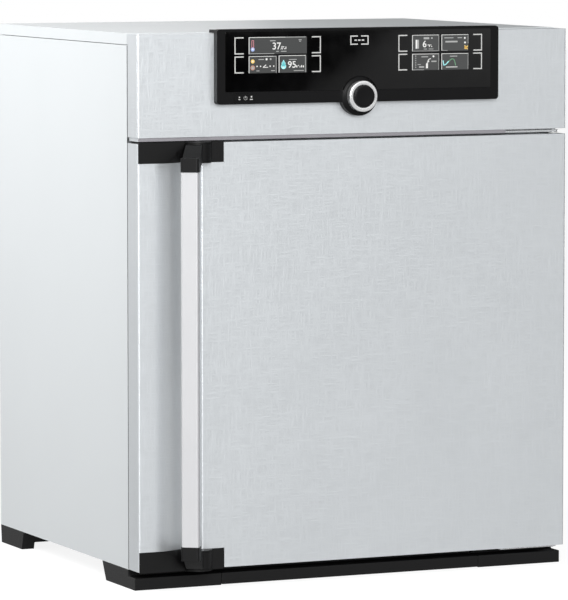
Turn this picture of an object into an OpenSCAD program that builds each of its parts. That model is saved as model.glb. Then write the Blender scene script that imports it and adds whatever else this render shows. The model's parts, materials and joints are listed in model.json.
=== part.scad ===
/* [Case] */
// Width over the side panels
case_w = 719; // [700:1:800]
// Height of the top cover above the floor
case_h = 836; // [825:1:900]
// Depth from the front faces to the rear edges of the side panels
case_d = 580; // [560:1:640]
// Height of the case bottom above the floor
foot_h = 29; // [27:1:45]
// Thickness of the painted and stainless sheet
sheet_t = 1.2; // [0.8:0.1:1.6]
// Outside bend radius of the upright front edges
bend_r = 3; // [2.5:0.5:5]
// Height of the turned-down edge of the top cover
cover_fold = 17; // [10:1:30]
// Seam between fixed covers
seam = 0.8; // [0.4:0.1:0.9]
// Width of the folded flanges inside the case
flange_w = 20; // [16:1:30]
// How far the rear bumpers stand out
bumper_out = 11; // [6:1:30]

/* [Control panel] */
// Height of the fascia above the door
fascia_h = 155; // [150:1:170]
// Gap between the door and the fascia
fascia_gap = 8.5; // [8:0.5:14]
// Width of the black bezel
bezel_w = 471; // [440:1:500]
// Height of the bezel below the top cover
bezel_drop = 106.8; // [100:0.1:115]
// How far the bezel stands in front of the fascia
bezel_t = 12; // [11:0.5:16]
// How far the bezel's lip stands above the top cover
lip_h = 5.7; // [3:0.1:10]
// How far the lip runs back over the top cover
lip_d = 20; // [8:1:60]
// Width of the glossy touch panel
panel_w = 444; // [420:1:450]
// Height of the glossy touch panel
panel_h = 90.3; // [80:0.1:92]
// Strip of bezel left above the touch panel
panel_top = 3.8; // [2:0.1:8]
// Width of one display window
display_w = 95.6; // [80:0.1:105]
// Height of one display window
display_h = 53.7; // [45:0.1:58]
// Distance of the display centres from the middle
display_x = 136; // [120:1:150]
// Drop of the display tops below the top of the touch panel
display_drop = 8.7; // [6:0.1:12]

/* [Knob and button] */
// Height of the knob axis above the bezel's lower edge
knob_up = 9; // [6:0.5:14]
// Diameter of the round lobe behind the knob
lobe_d = 60; // [54:1:66]
// Diameter of the bright dial ring
ring_d = 47; // [42:1:50]
// Length of the dial ring
ring_t = 11; // [9:0.5:14]
// Diameter of the black cap
cap_d = 33.5; // [28:0.5:36]
// How far the cap stands out of the ring
cap_out = 4.5; // [3:0.5:6]
// Travel of the pushed cap
cap_travel = 1.5; // [0.5:0.1:2]
// Width of the power button
button_w = 36; // [24:1:40]
// Height of the power button
button_h = 11.6; // [8:0.1:12]
// Distance of the power button's middle from the bezel's left side
button_in = 46; // [32:0.5:64]
// Travel of the power button
button_travel = 0.8; // [0.4:0.1:1.2]

/* [Outer door] */
// Thickness of the outer door
door_t = 38; // [36:1:50]
// Gap between the closed door and the case
door_gap = 3; // [2:0.5:5]
// Rise of the door's lower edge above the case bottom
door_rise = 0.5; // [0:0.5:3]
// Hinge axis in from the right-hand side
hinge_in = 8; // [7:0.5:10]
// Hinge axis in front of the door's rear plane
hinge_front = 10; // [9:0.5:14]
// Diameter of the door hinge pins
hinge_pin_d = 8; // [6:0.5:9]
// Thickness of the hinge plates
hinge_plate_t = 3; // [2:0.5:4]
// Length of the hinge plates along the door
hinge_plate_w = 102; // [60:1:120]
// How far the strip in the gap under the fascia lies behind its front
strip_in = 2; // [1.5:0.5:6]
// Distance of the groove's deepest line from the door's left side
groove_x = 82.5; // [78:0.5:90]
// Width of the groove's long left slope
groove_w = 56; // [50:0.5:60]
// Width of the groove's steep right side
groove_right = 21; // [18:0.5:26]
// Share of the left slope that bulges before it turns hollow
groove_bulge = 0.7; // [0.5:0.01:0.75]
// Depth of the hand groove
groove_depth = 13; // [8:0.5:13.5]
// Depth of the recess in the back of the door
dish_d = 19.5; // [18:0.5:22]
// Width of the door gasket
gasket_w = 12; // [8:1:14]
// Inset of the door gasket from the door's edges
gasket_in = 12; // [10:1:14]

/* [Handle] */
// Height of the black handle brackets
bracket_h = 31.5; // [28:0.5:36]
// Width of the handle brackets
bracket_w = 138.5; // [125:0.5:150]
// How far the brackets stand past the door's ends
bracket_over = 1.9; // [0.5:0.1:2.4]
// Depth of the brackets
bracket_d = 29; // [28:0.5:31]
// Distance of the handle axis from the door's left side
hub_x = 98; // [90:1:105]
// How far the handle axis lies behind the door's front
hub_back = 3; // [1:0.5:5]
// Diameter of the handle hubs
hub_d = 43.5; // [38:0.5:44]
// Distance from the handle axis to the middle of the bar
arm_len = 54.8; // [50:0.1:70]
// Angle of the arms to the left of straight out
arm_angle = 34; // [30:1:38]
// Width of the arms where they leave the hubs
arm_w = 22; // [18:0.5:30]
// Width of the bar
bar_w = 26; // [18:0.5:28]
// Thickness of the bar
bar_t = 16; // [12:0.5:20]
// Edge radius of the bar
bar_r = 3; // [2:0.5:6]
// Height of the black blocks at the bar's ends
end_block_h = 21; // [16:0.5:26]
// Drop from the hub's far end to the end block
arm_drop = 22; // [16:0.5:26]
// Diameter of the handle pins
handle_pin_d = 8; // [5:0.5:10]
// Stroke of the latch tongue
tongue_stroke = 6; // [3:0.5:7]

/* [Chamber] */
// Thickness of the case walls beside the chamber
side_wall = 79.5; // [75:0.5:88]
// Room between the chamber and the rear panel
rear_room = 139; // [125:1:155]
// Room between the chamber and the top of the case
service_room = 238; // [230:1:248]
// Height of the chamber floor above the case bottom
chamber_up = 89; // [80:1:95]
// Thickness of the chamber sheet
liner_t = 1; // [0.6:0.1:1.5]
// Share of the chamber's height from one shelf to the next
shelf_share = 0.3125; // [0.28:0.0025:0.33]
// Thickness of the shelf sheet
shelf_t = 1.2; // [0.8:0.1:2]
// Height of the folded shelf edge
shelf_fold = 12; // [8:1:20]
// Width of the runner rails
rail_w = 14; // [10:1:20]
// Diameter of the holes in the shelves
shelf_hole_d = 12; // [6:1:20]
// Distance between the holes in the shelves
shelf_pitch = 44; // [30:1:60]
// Gap between the water tray and the chamber's side walls
tray_side = 45; // [30:1:90]
// Gap between the water tray and the chamber's rear wall
tray_rear = 30; // [26:1:80]
// Height of the water tray
tray_h = 35; // [20:1:50]
// Travel of the shelves and the tray behind the closed glass door
slide_travel = 15; // [5:1:15]

/* [Glass door] */
// Thickness of the glass pane
glass_t = 5; // [4:0.5:6]
// Overlap of the pane over the chamber's edge
glass_lap = 14; // [13:1:16]
// Thickness of the chamber gasket
seal_t = 3; // [2:0.5:4]
// Diameter of the glass hinge knuckles
knuckle_d = 10; // [8:0.5:11]
// Height of one glass hinge
glass_hinge_h = 40; // [30:1:60]

/* [Fan] */
// Diameter of the fan wheel
fan_d = 130; // [90:1:150]
// Height of the fan wheel
fan_h = 18; // [10:1:20]
// Diameter of the fan shaft
fan_shaft_d = 8; // [5:0.5:10]
// How far the fan axis lies behind the chamber's middle
fan_shift = 15; // [0:1:30]
// Gap between the fan cover and the chamber's rear wall
cover_rear = 35; // [30:1:60]
// Depth of the fan cover below the ceiling
fan_cover_h = 34; // [30:1:45]
// Diameter of the motor
motor_d = 80; // [60:1:100]
// Height of the motor
motor_h = 58; // [40:1:80]

/* [Services] */
// Height of the service deck above the chamber
deck_up = 57; // [50:1:60]
// Distance of the gas line from the right-hand side
gas_in = 129.5; // [120:0.5:145]
// Height of the gas line above the deck
gas_up = 48; // [40:1:60]
// Outside diameter of the gas tube
tube_d = 6; // [4:0.5:8]
// Diameter of the hose nipple at the gas inlet
nipple_d = 8; // [6:0.5:10]
// Length of the straight part of the nipple
nipple_len = 18; // [12:1:19]
// Inside diameter of the access port
port_d = 30; // [20:1:40]
// Distance of the port axis from the chamber's side wall
port_in = 100; // [80:1:130]
// Drop of the port axis below the chamber's ceiling
port_drop = 100; // [80:1:130]
// Width of the mains inlet
inlet_w = 48; // [44:1:56]
// Height of the mains inlet
inlet_h = 58; // [50:1:70]
// Diameter of the panel screws
screw_d = 4; // [3:0.5:5]

/* [Feet] */
// Width of the corner feet
foot_w = 142; // [120:1:180]
// How far the front feet lie behind the door's front
foot_in = 14; // [8:1:20]
// Depth of the front feet
front_foot_d = 132; // [110:1:160]
// Height of the plinth under the door
plinth_h = 18.7; // [12:0.1:19]
// Depth of the rear feet
rear_foot_d = 102; // [80:1:120]

/* [Hidden] */
$fn = 64;
clear = 0.3;
slip = 0.05;
hub_ext = bar_w / 2 - bar_r;
hub_ext_t = bar_t / 2 - bar_r;
block_wall = 1;
handle_out = (arm_len + hub_ext_t) * cos(arm_angle) + hub_ext * sin(arm_angle) + bar_r + block_wall - hub_back;
left = -case_w / 2;
right = case_w / 2;
front = handle_out - (handle_out + case_d + bumper_out) / 2;
back = front + case_d;
door_back = front + door_t;
face = door_back + door_gap;
in_right = right - sheet_t;
door_z0 = foot_h + door_rise;
fascia_z0 = case_h - fascia_h;
door_z1 = fascia_z0 - fascia_gap;
door_mid = (door_z0 + door_z1) / 2;
hinge_x = right - hinge_in;
hinge_y = door_back - hinge_front;
bush_d = hinge_pin_d + 6;
bush_len = 24;
bush_flange = 1.5;
pin_in = 20;

chamber_w = case_w - 2 * side_wall;
chamber_d = case_d - door_t - door_gap - rear_room;
chamber_h = case_h - foot_h - chamber_up - service_room;
liner_z0 = foot_h + chamber_up;
liner_z1 = liner_z0 + chamber_h;
liner_x = chamber_w / 2;
liner_back = face + chamber_d;
deck_z = liner_z1 + deck_up;
heater_t = 0.8;
frame_t = 1.5;
foam_in = heater_t + 0.2;
foam_d = 90;
pan_h = 26;
valve_w = 36;
valve_cap = 14;
coil_d = 26;
coil_h = 30;
hinge_hole_in = 20;
hinge_hole_end = 42;
hinge_strap_hole_end = 32;
screw_len = 12;
screw_end = 31;
louvre_w = 90;
louvre_h = 4;
louvre_pitch = 11;
louvre_x = 60;
louvre_up = 45;

bezel_z0 = case_h - bezel_drop;
bezel_z1 = case_h + lip_h;
bezel_face = front - bezel_t;
bezel_wall = 3;
bezel_r = 5;
panel_t = 2.5;
panel_z1 = bezel_z1 - panel_top;
panel_z0 = panel_z1 - panel_h;
display_z = panel_z1 - display_drop - display_h / 2;
display_rim = 3;
display_body = 5;
board_y = front + 3;
board_t = 1.6;
screen_board_w = 400;
screen_board_up = 22;
screen_board_down = 16;
board_screw_in = 10;
knob_z = bezel_z0 + knob_up;
skirt_t = 4;
knob_back = bezel_face - skirt_t - clear;
ring_bore = cap_d + 2 * clear;
web_t = 3;
bushing_d = 10;
button_x = bezel_w / 2 - button_in;
button_z = bezel_z0 + (panel_z0 - bezel_z0) / 2;
button_out = 0.9;

bracket_x0 = left + sheet_t + clear;
bracket_x1 = bracket_x0 + bracket_w;
axis_x = left + hub_x;
axis_y = front + hub_back;
groove_mid = left + groove_x;
groove_ease = 0.05;
groove_tilt = 2 * atan((groove_depth - 2 * groove_ease) / groove_w);
groove_bulge_r = groove_bulge * groove_w / sin(groove_tilt);
groove_bowl_r = (1 - groove_bulge) * groove_w / sin(groove_tilt);
groove_wall_r = (groove_right * groove_right + groove_depth * groove_depth) / (2 * groove_depth);
strip_z0 = door_z1 + bracket_over + 1.2;
lug_t = 2.5;
top_bracket_z1 = door_z1 + bracket_over;
top_bracket_z0 = top_bracket_z1 - bracket_h;
low_bracket_z0 = door_z0 - bracket_over;
low_bracket_z1 = low_bracket_z0 + bracket_h;
hub_clear = 0.4;
arm_end = arm_len + bar_t / 2 + block_wall;
bar_sink = 12;

pane_x = liner_x + glass_lap;
pane_z0 = liner_z0 - glass_lap;
pane_z1 = liner_z1 + glass_lap;
pane_back = face - seal_t - clear;
pane_front = pane_back - glass_t;
glass_axis_x = pane_x + knuckle_d / 2 + 3;
glass_axis_y = face - knuckle_d / 2 - 1;
strap_t = 3;
fit_out = 9;
glass_hinges = [pane_z0 + 60, pane_z1 - 60];
dish_x = pane_x + knuckle_d + 8;
dish_z0 = pane_z0 - 12;
dish_z1 = pane_z1 + 12;
dish_floor = door_back - dish_d;
tongue_x0 = -dish_x - 18;
tongue_w = 8;
nose_out = 12;
tongue_h = 30;

post_w = 18;
post_t = 6;
rail_t = 2;
rail_in = 20;
lower_shelf_z = chamber_h * shelf_share;
upper_shelf_z = 2 * lower_shelf_z;
rail_levels = [lower_shelf_z, upper_shelf_z];
slot_h = 8;
slot_low = 40;
slot_high = 80;
slots = 12;
shelf_gap = 3;
shelf_x = liner_x - post_t - shelf_gap;
shelf_y0 = face + slide_travel + 3;
shelf_y1 = liner_back - 12;
tray_lip = 8;
tray_w = chamber_w - 2 * tray_side;
tray_d = liner_back - tray_rear - shelf_y0 - 2;

fan_back = chamber_d / 2 + fan_shift;
fan_cover_w = 2 * (chamber_d - fan_back - cover_rear);
fan_y = face + fan_back;
fan_z1 = liner_z1 - 5;
cover_t = 1;
foam_back = liner_back + foam_d;
gas_x = right - gas_in;
port_x = liner_x - port_in;
pcb_z = deck_z + sheet_t + 8;
gas_z = deck_z + gas_up;
elbow_r = 14;
valve_y = liner_back + 18;
tube_y = liner_back - 25;
port_z = liner_z1 - port_drop;
port_wall = 3;
inlet_x = left + 119.5;
inlet_z = deck_z + 70;
sensor_d = 16;
sensor_x = (fan_cover_w / 2 + liner_x) / 2 - 15;
sensor_y = liner_back - 100;
sensor_len = 55;
sensor_top = 20;
sensor_flange = 16;
screw_zs = [for (i = [0:4]) foot_h + screw_end + i * (case_h - foot_h - cover_fold - 2 * screw_end) / 4];
screw_x = in_right - flange_w / 2;
bumper_w = 40;
bumper_in = 64.5;
bumper_low = 70;
bumper_high = 25;
board_w = 200;
board_d = 140;
board_in = 40;
relay_h = 34;
sink_h = 24;
supply_w = 160;
supply_d = 95;
supply_h = 42;
supply_lap = 60;

// A box between two corners, each axis given as [low, high]
module span(x, y, z) {
    translate([x[0], y[0], z[0]]) cube([x[1] - x[0], y[1] - y[0], z[1] - z[0]]);
}

// A flat rectangle with round corners
module round_rect(x, y, r) {
    translate([x[0], y[0] + r]) square([x[1] - x[0], y[1] - y[0] - 2 * r]);
    translate([x[0] + r, y[0]]) square([x[1] - x[0] - 2 * r, y[1] - y[0]]);
    for (cx = [x[0] + r, x[1] - r], cy = [y[0] + r, y[1] - r]) translate([cx, cy]) circle(r);
}

// A slab whose corners are round as seen from the front
module front_slab(x, y, z, r) {
    translate([0, y[1], 0]) rotate([90, 0, 0]) linear_extrude(y[1] - y[0]) round_rect(x, z, r);
}

// A slab whose corners are round as seen from above
module plan_slab(x, y, z, r) {
    translate([0, 0, z[0]]) linear_extrude(z[1] - z[0]) round_rect(x, y, r);
}

// A cylinder along Y from y[0] to y[1]
module y_rod(x, z, y, d, d2 = 0) {
    translate([x, y[0], z]) rotate([-90, 0, 0])
        cylinder(d1 = d, d2 = d2 > 0 ? d2 : d, h = y[1] - y[0]);
}

// A cylinder along Z from z[0] to z[1]
module z_rod(x, y, z, d) {
    translate([x, y, z[0]]) cylinder(d = d, h = z[1] - z[0]);
}

// A rectangular loop seen from the front, w wide, inside the given outline
module front_loop(x, y, z, w) {
    difference() {
        span(x, y, z);
        span([x[0] + w, x[1] - w], [y[0] - 1, y[1] + 1], [z[0] + w, z[1] - w]);
    }
}

// The five panel screws of one upright edge
module screw_holes(d) {
    for (sx = [-1, 1], z = screw_zs) y_rod(sx * screw_x, z, [back - 14, back + 1], d);
}

module left_side_panel() mirror([1, 0, 0]) right_side_shape();

module right_side_panel() right_side_shape();

module right_side_shape() {
    z = [foot_h, case_h - cover_fold - seam];
    color("gainsboro") difference() {
        union() {
            span([in_right, right], [face, back], z);
            span([in_right - flange_w, right], [back - 2 * sheet_t, back - sheet_t], z);
            span([in_right - flange_w, right], [face + frame_t, face + frame_t + sheet_t], z);
        }
        screw_holes(screw_d + 0.4);
    }
}

module top_cover() {
    z0 = case_h - cover_fold;
    color("gainsboro") difference() {
        span([left, right], [face, back], [z0, case_h]);
        span([-in_right, in_right], [face - 1, back - sheet_t], [z0 - 1, case_h - sheet_t]);
    }
}

module rear_panel() {
    z1 = case_h - cover_fold - seam;
    color("silver") difference() {
        span([-in_right + clear, in_right - clear], [back - sheet_t, back], [foot_h, z1]);
        screw_holes(screw_d + 0.4);
        y_rod(gas_x, gas_z, [back - 3, back + 1], nipple_d + 4 + clear);
        y_rod(-port_x, port_z, [back - 3, back + 1], port_d + 2 * port_wall + clear);
        span([inlet_x - inlet_w / 2 + 5, inlet_x + inlet_w / 2 - 5], [back - 3, back + 1],
            [inlet_z - inlet_h / 2 + 5, inlet_z + inlet_h / 2 - 5]);
        for (col = [-1, 1], row = [0:8]) {
            z = deck_z + louvre_up + row * louvre_pitch;
            front_slab([col * louvre_x - louvre_w / 2, col * louvre_x + louvre_w / 2], [back - 3, back + 1],
                [z, z + louvre_h], louvre_h / 2 - 0.1);
        }
    }
}

module base_pan() {
    color("silver") difference() {
        span([-in_right + clear, in_right - clear], [face + frame_t + sheet_t, back - 2 * sheet_t],
            [foot_h, foot_h + pan_h]);
        span([-in_right + clear + sheet_t, in_right - clear - sheet_t],
            [face + frame_t + 2 * sheet_t, back - 3 * sheet_t], [foot_h + sheet_t, foot_h + pan_h + 1]);
        for (sx = [-1, 1], sy = [face + 40, back - 60]) z_rod(sx * (right - 60), sy, [foot_h - 1, foot_h + 3], 6);
    }
}

module front_fascia() {
    y1 = face - seam;
    color("gainsboro") difference() {
        union() {
            difference() {
                plan_slab([left, right], [front, y1 + bend_r], [fascia_z0, case_h - seam], bend_r);
                plan_slab([-in_right, in_right], [front + sheet_t, y1 + 2 * bend_r],
                    [fascia_z0 + sheet_t, case_h - seam - sheet_t], bend_r - sheet_t / 2);
                span([left - 1, right + 1], [y1, y1 + 20], [fascia_z0 - 1, case_h]);
            }
            for (sx = [-1, 1]) span([sx * (right - 30) - 8, sx * (right - 30) + 8],
                [front + sheet_t, face], [case_h - seam - 30, case_h - seam - 10]);
            span([left + strip_in, hinge_x - hinge_plate_w + hinge_in - 2],
                [front + strip_in, front + strip_in + sheet_t], [strip_z0, fascia_z0 + sheet_t]);
            span([left + strip_in, left + strip_in + sheet_t], [front + strip_in, y1],
                [strip_z0, fascia_z0 + sheet_t]);
        }
        for (side = [0, 1]) mirror([side, 0, 0])
            span([in_right, right + 1], [door_back, face], [fascia_z0 - 1, case_h - cover_fold]);
        span([-210, 210], [front - 1, front + sheet_t + 1], [bezel_z0 + 4, case_h - 12]);
        y_rod(0, knob_z, [front - 1, front + sheet_t + 1], 24);
        span([hinge_x - hinge_plate_w + hinge_in - 1, right + 1], [face - hinge_plate_t - 1, face + 1],
            [fascia_z0 - 1, fascia_z0 + 24]);
    }
}

module front_frame() {
    color("silver") difference() {
        span([-in_right + clear, in_right - clear], [face, face + frame_t],
            [foot_h, case_h - cover_fold - seam]);
        span([-liner_x, liner_x], [face - 1, face + frame_t + 1], [liner_z0, liner_z1]);
        span([-200, 200], [face - 1, face + frame_t + 1], [deck_z + 40, case_h - cover_fold - 20]);
        span([tongue_x0 - 2, tongue_x0 + tongue_w + tongue_stroke + 2], [face - 1, face + frame_t + 1],
            [door_mid - 12, door_mid + 12]);
    }
}

module chamber_liner() {
    t = liner_t;
    color("lightgray") difference() {
        union() {
            span([-liner_x - t, liner_x + t], [face + frame_t, liner_back + t], [liner_z0 - t, liner_z1 + t]);
            span([-liner_x - 18, liner_x + 18], [face + frame_t, face + frame_t + t], [liner_z0 - 18, liner_z1 + 18]);
        }
        span([-liner_x, liner_x], [face, liner_back], [liner_z0, liner_z1]);
        z_rod(0, fan_y, [liner_z1 - 1, liner_z1 + t + 1], fan_shaft_d + 6);
        z_rod(gas_x, tube_y, [liner_z1 - 1, liner_z1 + t + 1], tube_d + 2 * clear);
        for (sx = [-1, 1]) z_rod(sx * sensor_x, sensor_y, [liner_z1 - 1, liner_z1 + t + 1], sensor_d + 2 * clear);
        y_rod(-port_x, port_z, [liner_back - 1, liner_back + t + 1], port_d + 2 * port_wall + 2 * clear);
    }
}

module shelf_runners() {
    z = [liner_z0 + 4, liner_z1 - 4];
    color("silver") for (side = [0, 1]) mirror([side, 0, 0]) difference() {
        union() {
            for (y = [face + 30, liner_back - 30 - post_w])
                span([liner_x - post_t, liner_x], [y, y + post_w], z);
            for (level = rail_levels)
                span([liner_x - post_t - rail_w, liner_x - post_t + 1], [face + rail_in, liner_back - rail_in],
                    [liner_z0 + level - rail_t - clear, liner_z0 + level - clear]);
        }
        for (y = [face + 30, liner_back - 30 - post_w], i = [0:slots]) {
            h = liner_z0 + slot_low + i * (chamber_h - slot_low - slot_high) / slots;
            span([liner_x - post_t - 1, liner_x - post_t + 2], [y + 6, y + post_w - 6], [h, h + slot_h]);
        }
    }
}

module chamber_insulation() {
    g = liner_t + foam_in;
    color("white") difference() {
        span([-in_right + 1, in_right - 1], [face + frame_t + sheet_t + 0.5, foam_back],
            [foot_h + pan_h + 1, deck_z]);
        span([-liner_x - g, liner_x + g], [face, liner_back + g], [liner_z0 - g, liner_z1 + g]);
        z_rod(0, fan_y, [liner_z1, deck_z + 1], fan_shaft_d + 6);
        z_rod(gas_x, tube_y, [liner_z1, deck_z + 1], tube_d + 2 * clear);
        for (sx = [-1, 1]) z_rod(sx * sensor_x, sensor_y, [liner_z1, deck_z + 1], sensor_d + 2 * clear);
        y_rod(-port_x, port_z, [liner_back, foam_back + 1], port_d + 2 * port_wall + 2 * clear);
        span([tongue_x0 - 5, tongue_x0 + tongue_w + tongue_stroke + 5], [face, face + nose_out + 8],
            [door_mid - 15, door_mid + 15]);
    }
}

module chamber_gasket() {
    color("dimgray") front_loop([-liner_x - 11, liner_x + 11], [face - seal_t, face],
        [liner_z0 - 11, liner_z1 + 11], 10);
}

module chamber_heaters() {
    x = liner_x + liner_t;
    y = [face + 30, liner_back - 40];
    color("darkorange") {
        for (side = [0, 1]) mirror([side, 0, 0])
            span([x, x + heater_t], y, [liner_z0 + 20, liner_z1 - 20]);
        span([-x + 20, x - 20], y, [liner_z0 - liner_t - heater_t, liner_z0 - liner_t]);
        difference() {
            span([-x + 20, x - 20], y, [liner_z1 + liner_t, liner_z1 + liner_t + heater_t]);
            z_rod(0, fan_y, [liner_z1, liner_z1 + 5], fan_shaft_d + 10);
            for (sx = [-1, 1]) z_rod(sx * sensor_x, sensor_y, [liner_z1, liner_z1 + 5], sensor_d + 4);
        }
    }
}

module service_deck() {
    color("silver") difference() {
        span([-in_right + clear, in_right - clear], [face + frame_t + sheet_t, back - 2 * sheet_t],
            [deck_z, deck_z + sheet_t]);
        z_rod(0, fan_y, [deck_z - 1, deck_z + 3], fan_shaft_d + 6);
        z_rod(gas_x, tube_y, [deck_z - 1, deck_z + 3], tube_d + 2 * clear);
        for (sx = [-1, 1]) z_rod(sx * sensor_x, sensor_y, [deck_z - 1, deck_z + 3], sensor_d + 2 * clear);
    }
}

module panel_bezel() {
    wall_back = bezel_face + panel_t + 2;
    color([0.13, 0.13, 0.13]) difference() {
        union() {
            front_slab([-bezel_w / 2, bezel_w / 2], [bezel_face, front], [bezel_z0, bezel_z1], bezel_r);
            span([-bezel_w / 2 + 1, bezel_w / 2 - 1], [bezel_face + 2, front + lip_d], [case_h, bezel_z1 - 1]);
            y_rod(0, knob_z, [bezel_face, front], lobe_d);
            y_rod(0, knob_z, [bezel_face - skirt_t, bezel_face], ring_d, lobe_d);
        }
        front_slab([-panel_w / 2 - clear, panel_w / 2 + clear], [bezel_face - 1, bezel_face + panel_t],
            [panel_z0 - clear, panel_z1 + clear], 3);
        span([-bezel_w / 2 + bezel_wall, bezel_w / 2 - bezel_wall], [wall_back, front + 1],
            [bezel_z0 + bezel_wall, case_h - bezel_wall]);
        for (sx = [-1, 1]) span([sx * display_x - display_w / 2 - display_rim - clear,
            sx * display_x + display_w / 2 + display_rim + clear], [bezel_face, wall_back + 1],
            [display_z - display_h / 2 - display_rim - clear, display_z + display_h / 2 + display_rim + clear]);
        y_rod(0, knob_z, [bezel_face - skirt_t - 1, front + 1], bushing_d + 2 * clear);
        span([-9, 9], [board_y - 8, front + 1], [knob_z - 8, knob_z + 8]);
        front_slab([-button_x - button_w / 2 - clear, -button_x + button_w / 2 + clear],
            [bezel_face - 1, wall_back + 1], [button_z - button_h / 2 - clear, button_z + button_h / 2 + clear], 2.5);
    }
}

module touch_panel() {
    color("black") difference() {
        front_slab([-panel_w / 2, panel_w / 2], [bezel_face - 0.5, bezel_face + panel_t], [panel_z0, panel_z1], 3);
        for (sx = [-1, 1]) span([sx * display_x - display_w / 2 - clear, sx * display_x + display_w / 2 + clear],
            [bezel_face - 2, bezel_face + panel_t + 1],
            [display_z - display_h / 2 - clear, display_z + display_h / 2 + clear]);
        intersection() {
            y_rod(0, knob_z, [bezel_face - 2, bezel_face + panel_t + 1], lobe_d + 1);
            span([-lobe_d, lobe_d], [bezel_face - 3, bezel_face + panel_t + 2], [panel_z0 - 5, panel_z0 + 40]);
        }
    }
}

module display_modules() {
    y0 = bezel_face + panel_t;
    color("slategray") for (sx = [-1, 1]) {
        span([sx * display_x - display_w / 2, sx * display_x + display_w / 2], [bezel_face - 0.3, y0 + 1],
            [display_z - display_h / 2, display_z + display_h / 2]);
        span([sx * display_x - display_w / 2 - display_rim, sx * display_x + display_w / 2 + display_rim],
            [y0 + clear, y0 + clear + display_body],
            [display_z - display_h / 2 - display_rim, display_z + display_h / 2 + display_rim]);
    }
}

module display_board() {
    w = screen_board_w / 2;
    y0 = bezel_face + panel_t + clear + display_body;
    color("darkgreen") {
        difference() {
            span([-w, w], [board_y, board_y + board_t], [bezel_z0 + screen_board_up, case_h - screen_board_down]);
            for (sx = [-1, 1]) y_rod(sx * (w - board_screw_in), display_z, [board_y - 1, board_y + 3], 3.2);
        }
        for (sx = [-1, 1]) span([sx * display_x - 40, sx * display_x + 40], [y0, board_y],
            [display_z - 20, display_z + 20]);
        span([-30, 30], [board_y + board_t, board_y + board_t + 9], [display_z - 12, display_z + 12]);
        span([-9, 9], [board_y, board_y + board_t], [knob_z - 8, bezel_z0 + screen_board_up]);
        span([-button_x - 8, -button_x + 8], [bezel_face + panel_t + 4 + button_travel, board_y + board_t],
            [button_z - 4, button_z + 4]);
        span([-button_x - 8, -button_x + 8], [board_y, board_y + board_t], [button_z - 4, bezel_z0 + screen_board_up + 1]);
    }
}

module dial_encoder() {
    color("silver") {
        span([-8, 8], [board_y - 7, board_y], [knob_z - 7, knob_z + 7]);
        y_rod(0, knob_z, [knob_back - web_t - 1, board_y - 6], bushing_d);
    }
}

module dial_ring() {
    color("silver") difference() {
        y_rod(0, knob_z, [knob_back - ring_t, knob_back], ring_d);
        y_rod(0, knob_z, [knob_back - ring_t - 1, knob_back - web_t], ring_bore);
        y_rod(0, knob_z, [knob_back - web_t - 1, knob_back + 1], bushing_d + 2 * slip);
    }
}

module dial_cap() {
    y0 = knob_back - ring_t - cap_out;
    color([0.12, 0.12, 0.12]) difference() {
        union() {
            y_rod(0, knob_z, [y0, y0 + 1.5], cap_d - 3, cap_d);
            y_rod(0, knob_z, [y0 + 1.5, knob_back - web_t - cap_travel - clear], cap_d);
        }
        y_rod(0, knob_z, [knob_back - web_t - 1 - cap_travel - 0.5, knob_back], bushing_d + 1);
    }
}

module power_button() {
    x = [-button_x - button_w / 2, -button_x + button_w / 2];
    color([0.1, 0.1, 0.1]) {
        front_slab(x, [bezel_face - button_out, bezel_face + panel_t + 4 - clear],
            [button_z - button_h / 2, button_z + button_h / 2], 2.2);
    }
}

module controller_board() {
    x0 = -in_right + board_in;
    y0 = face + 60;
    top = pcb_z + board_t;
    color("darkgreen") {
        span([x0, x0 + board_w], [y0, y0 + board_d], [pcb_z, top]);
        for (x = [x0 + 8, x0 + board_w - 8], y = [y0 + 8, y0 + board_d - 8]) z_rod(x, y, [deck_z + sheet_t, pcb_z], 6);
        span([x0 + board_w * 0.1, x0 + board_w * 0.375], [y0 + board_d * 0.14, y0 + board_d * 0.5],
            [top, top + relay_h]);
        for (i = [0:4]) {
            x = x0 + board_w * (0.5 + i * 0.08);
            span([x, x + board_w * 0.04], [y0 + board_d * 0.11, y0 + board_d * 0.43], [top, top + sink_h]);
        }
        for (i = [0:3]) z_rod(x0 + board_w * (0.52 + i * 0.11), y0 + board_d * 0.68, [top, top + sink_h], 15);
        span([x0 + board_w * 0.1, x0 + board_w * 0.4], [y0 + board_d * 0.79, y0 + board_d * 0.89],
            [top, top + sink_h / 2]);
    }
}

module power_supply() {
    x0 = -in_right + board_in;
    y0 = liner_back - supply_lap;
    z0 = deck_z + sheet_t;
    color("silver") difference() {
        span([x0, x0 + supply_w], [y0, y0 + supply_d], [z0, z0 + supply_h]);
        span([x0 + 1, x0 + supply_w - 1], [y0 + 1, y0 + supply_d - 1], [z0 + 1, z0 + supply_h - 1]);
        for (i = [0:9]) {
            x = x0 + supply_w * (0.11 + i * 0.08);
            front_slab([x, x + supply_w * 0.04], [y0 - 1, y0 + 3], [z0 + supply_h * 0.2, z0 + supply_h * 0.8], 2.9);
        }
    }
}

module fan_motor() {
    z0 = deck_z + sheet_t;
    color("dimgray") difference() {
        union() {
            z_rod(0, fan_y, [z0, z0 + 4], motor_d + 20);
            z_rod(0, fan_y, [z0, z0 + motor_h], motor_d);
            z_rod(0, fan_y, [z0 + motor_h, z0 + motor_h + 6], motor_d / 2);
        }
        z_rod(0, fan_y, [z0 - 1, z0 + 40], fan_shaft_d + 2 * slip);
        for (a = [45:90:315]) translate([0, fan_y, 0]) rotate(a) z_rod(motor_d / 2 + 5, 0, [z0 - 1, z0 + 5], 4);
    }
}

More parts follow.
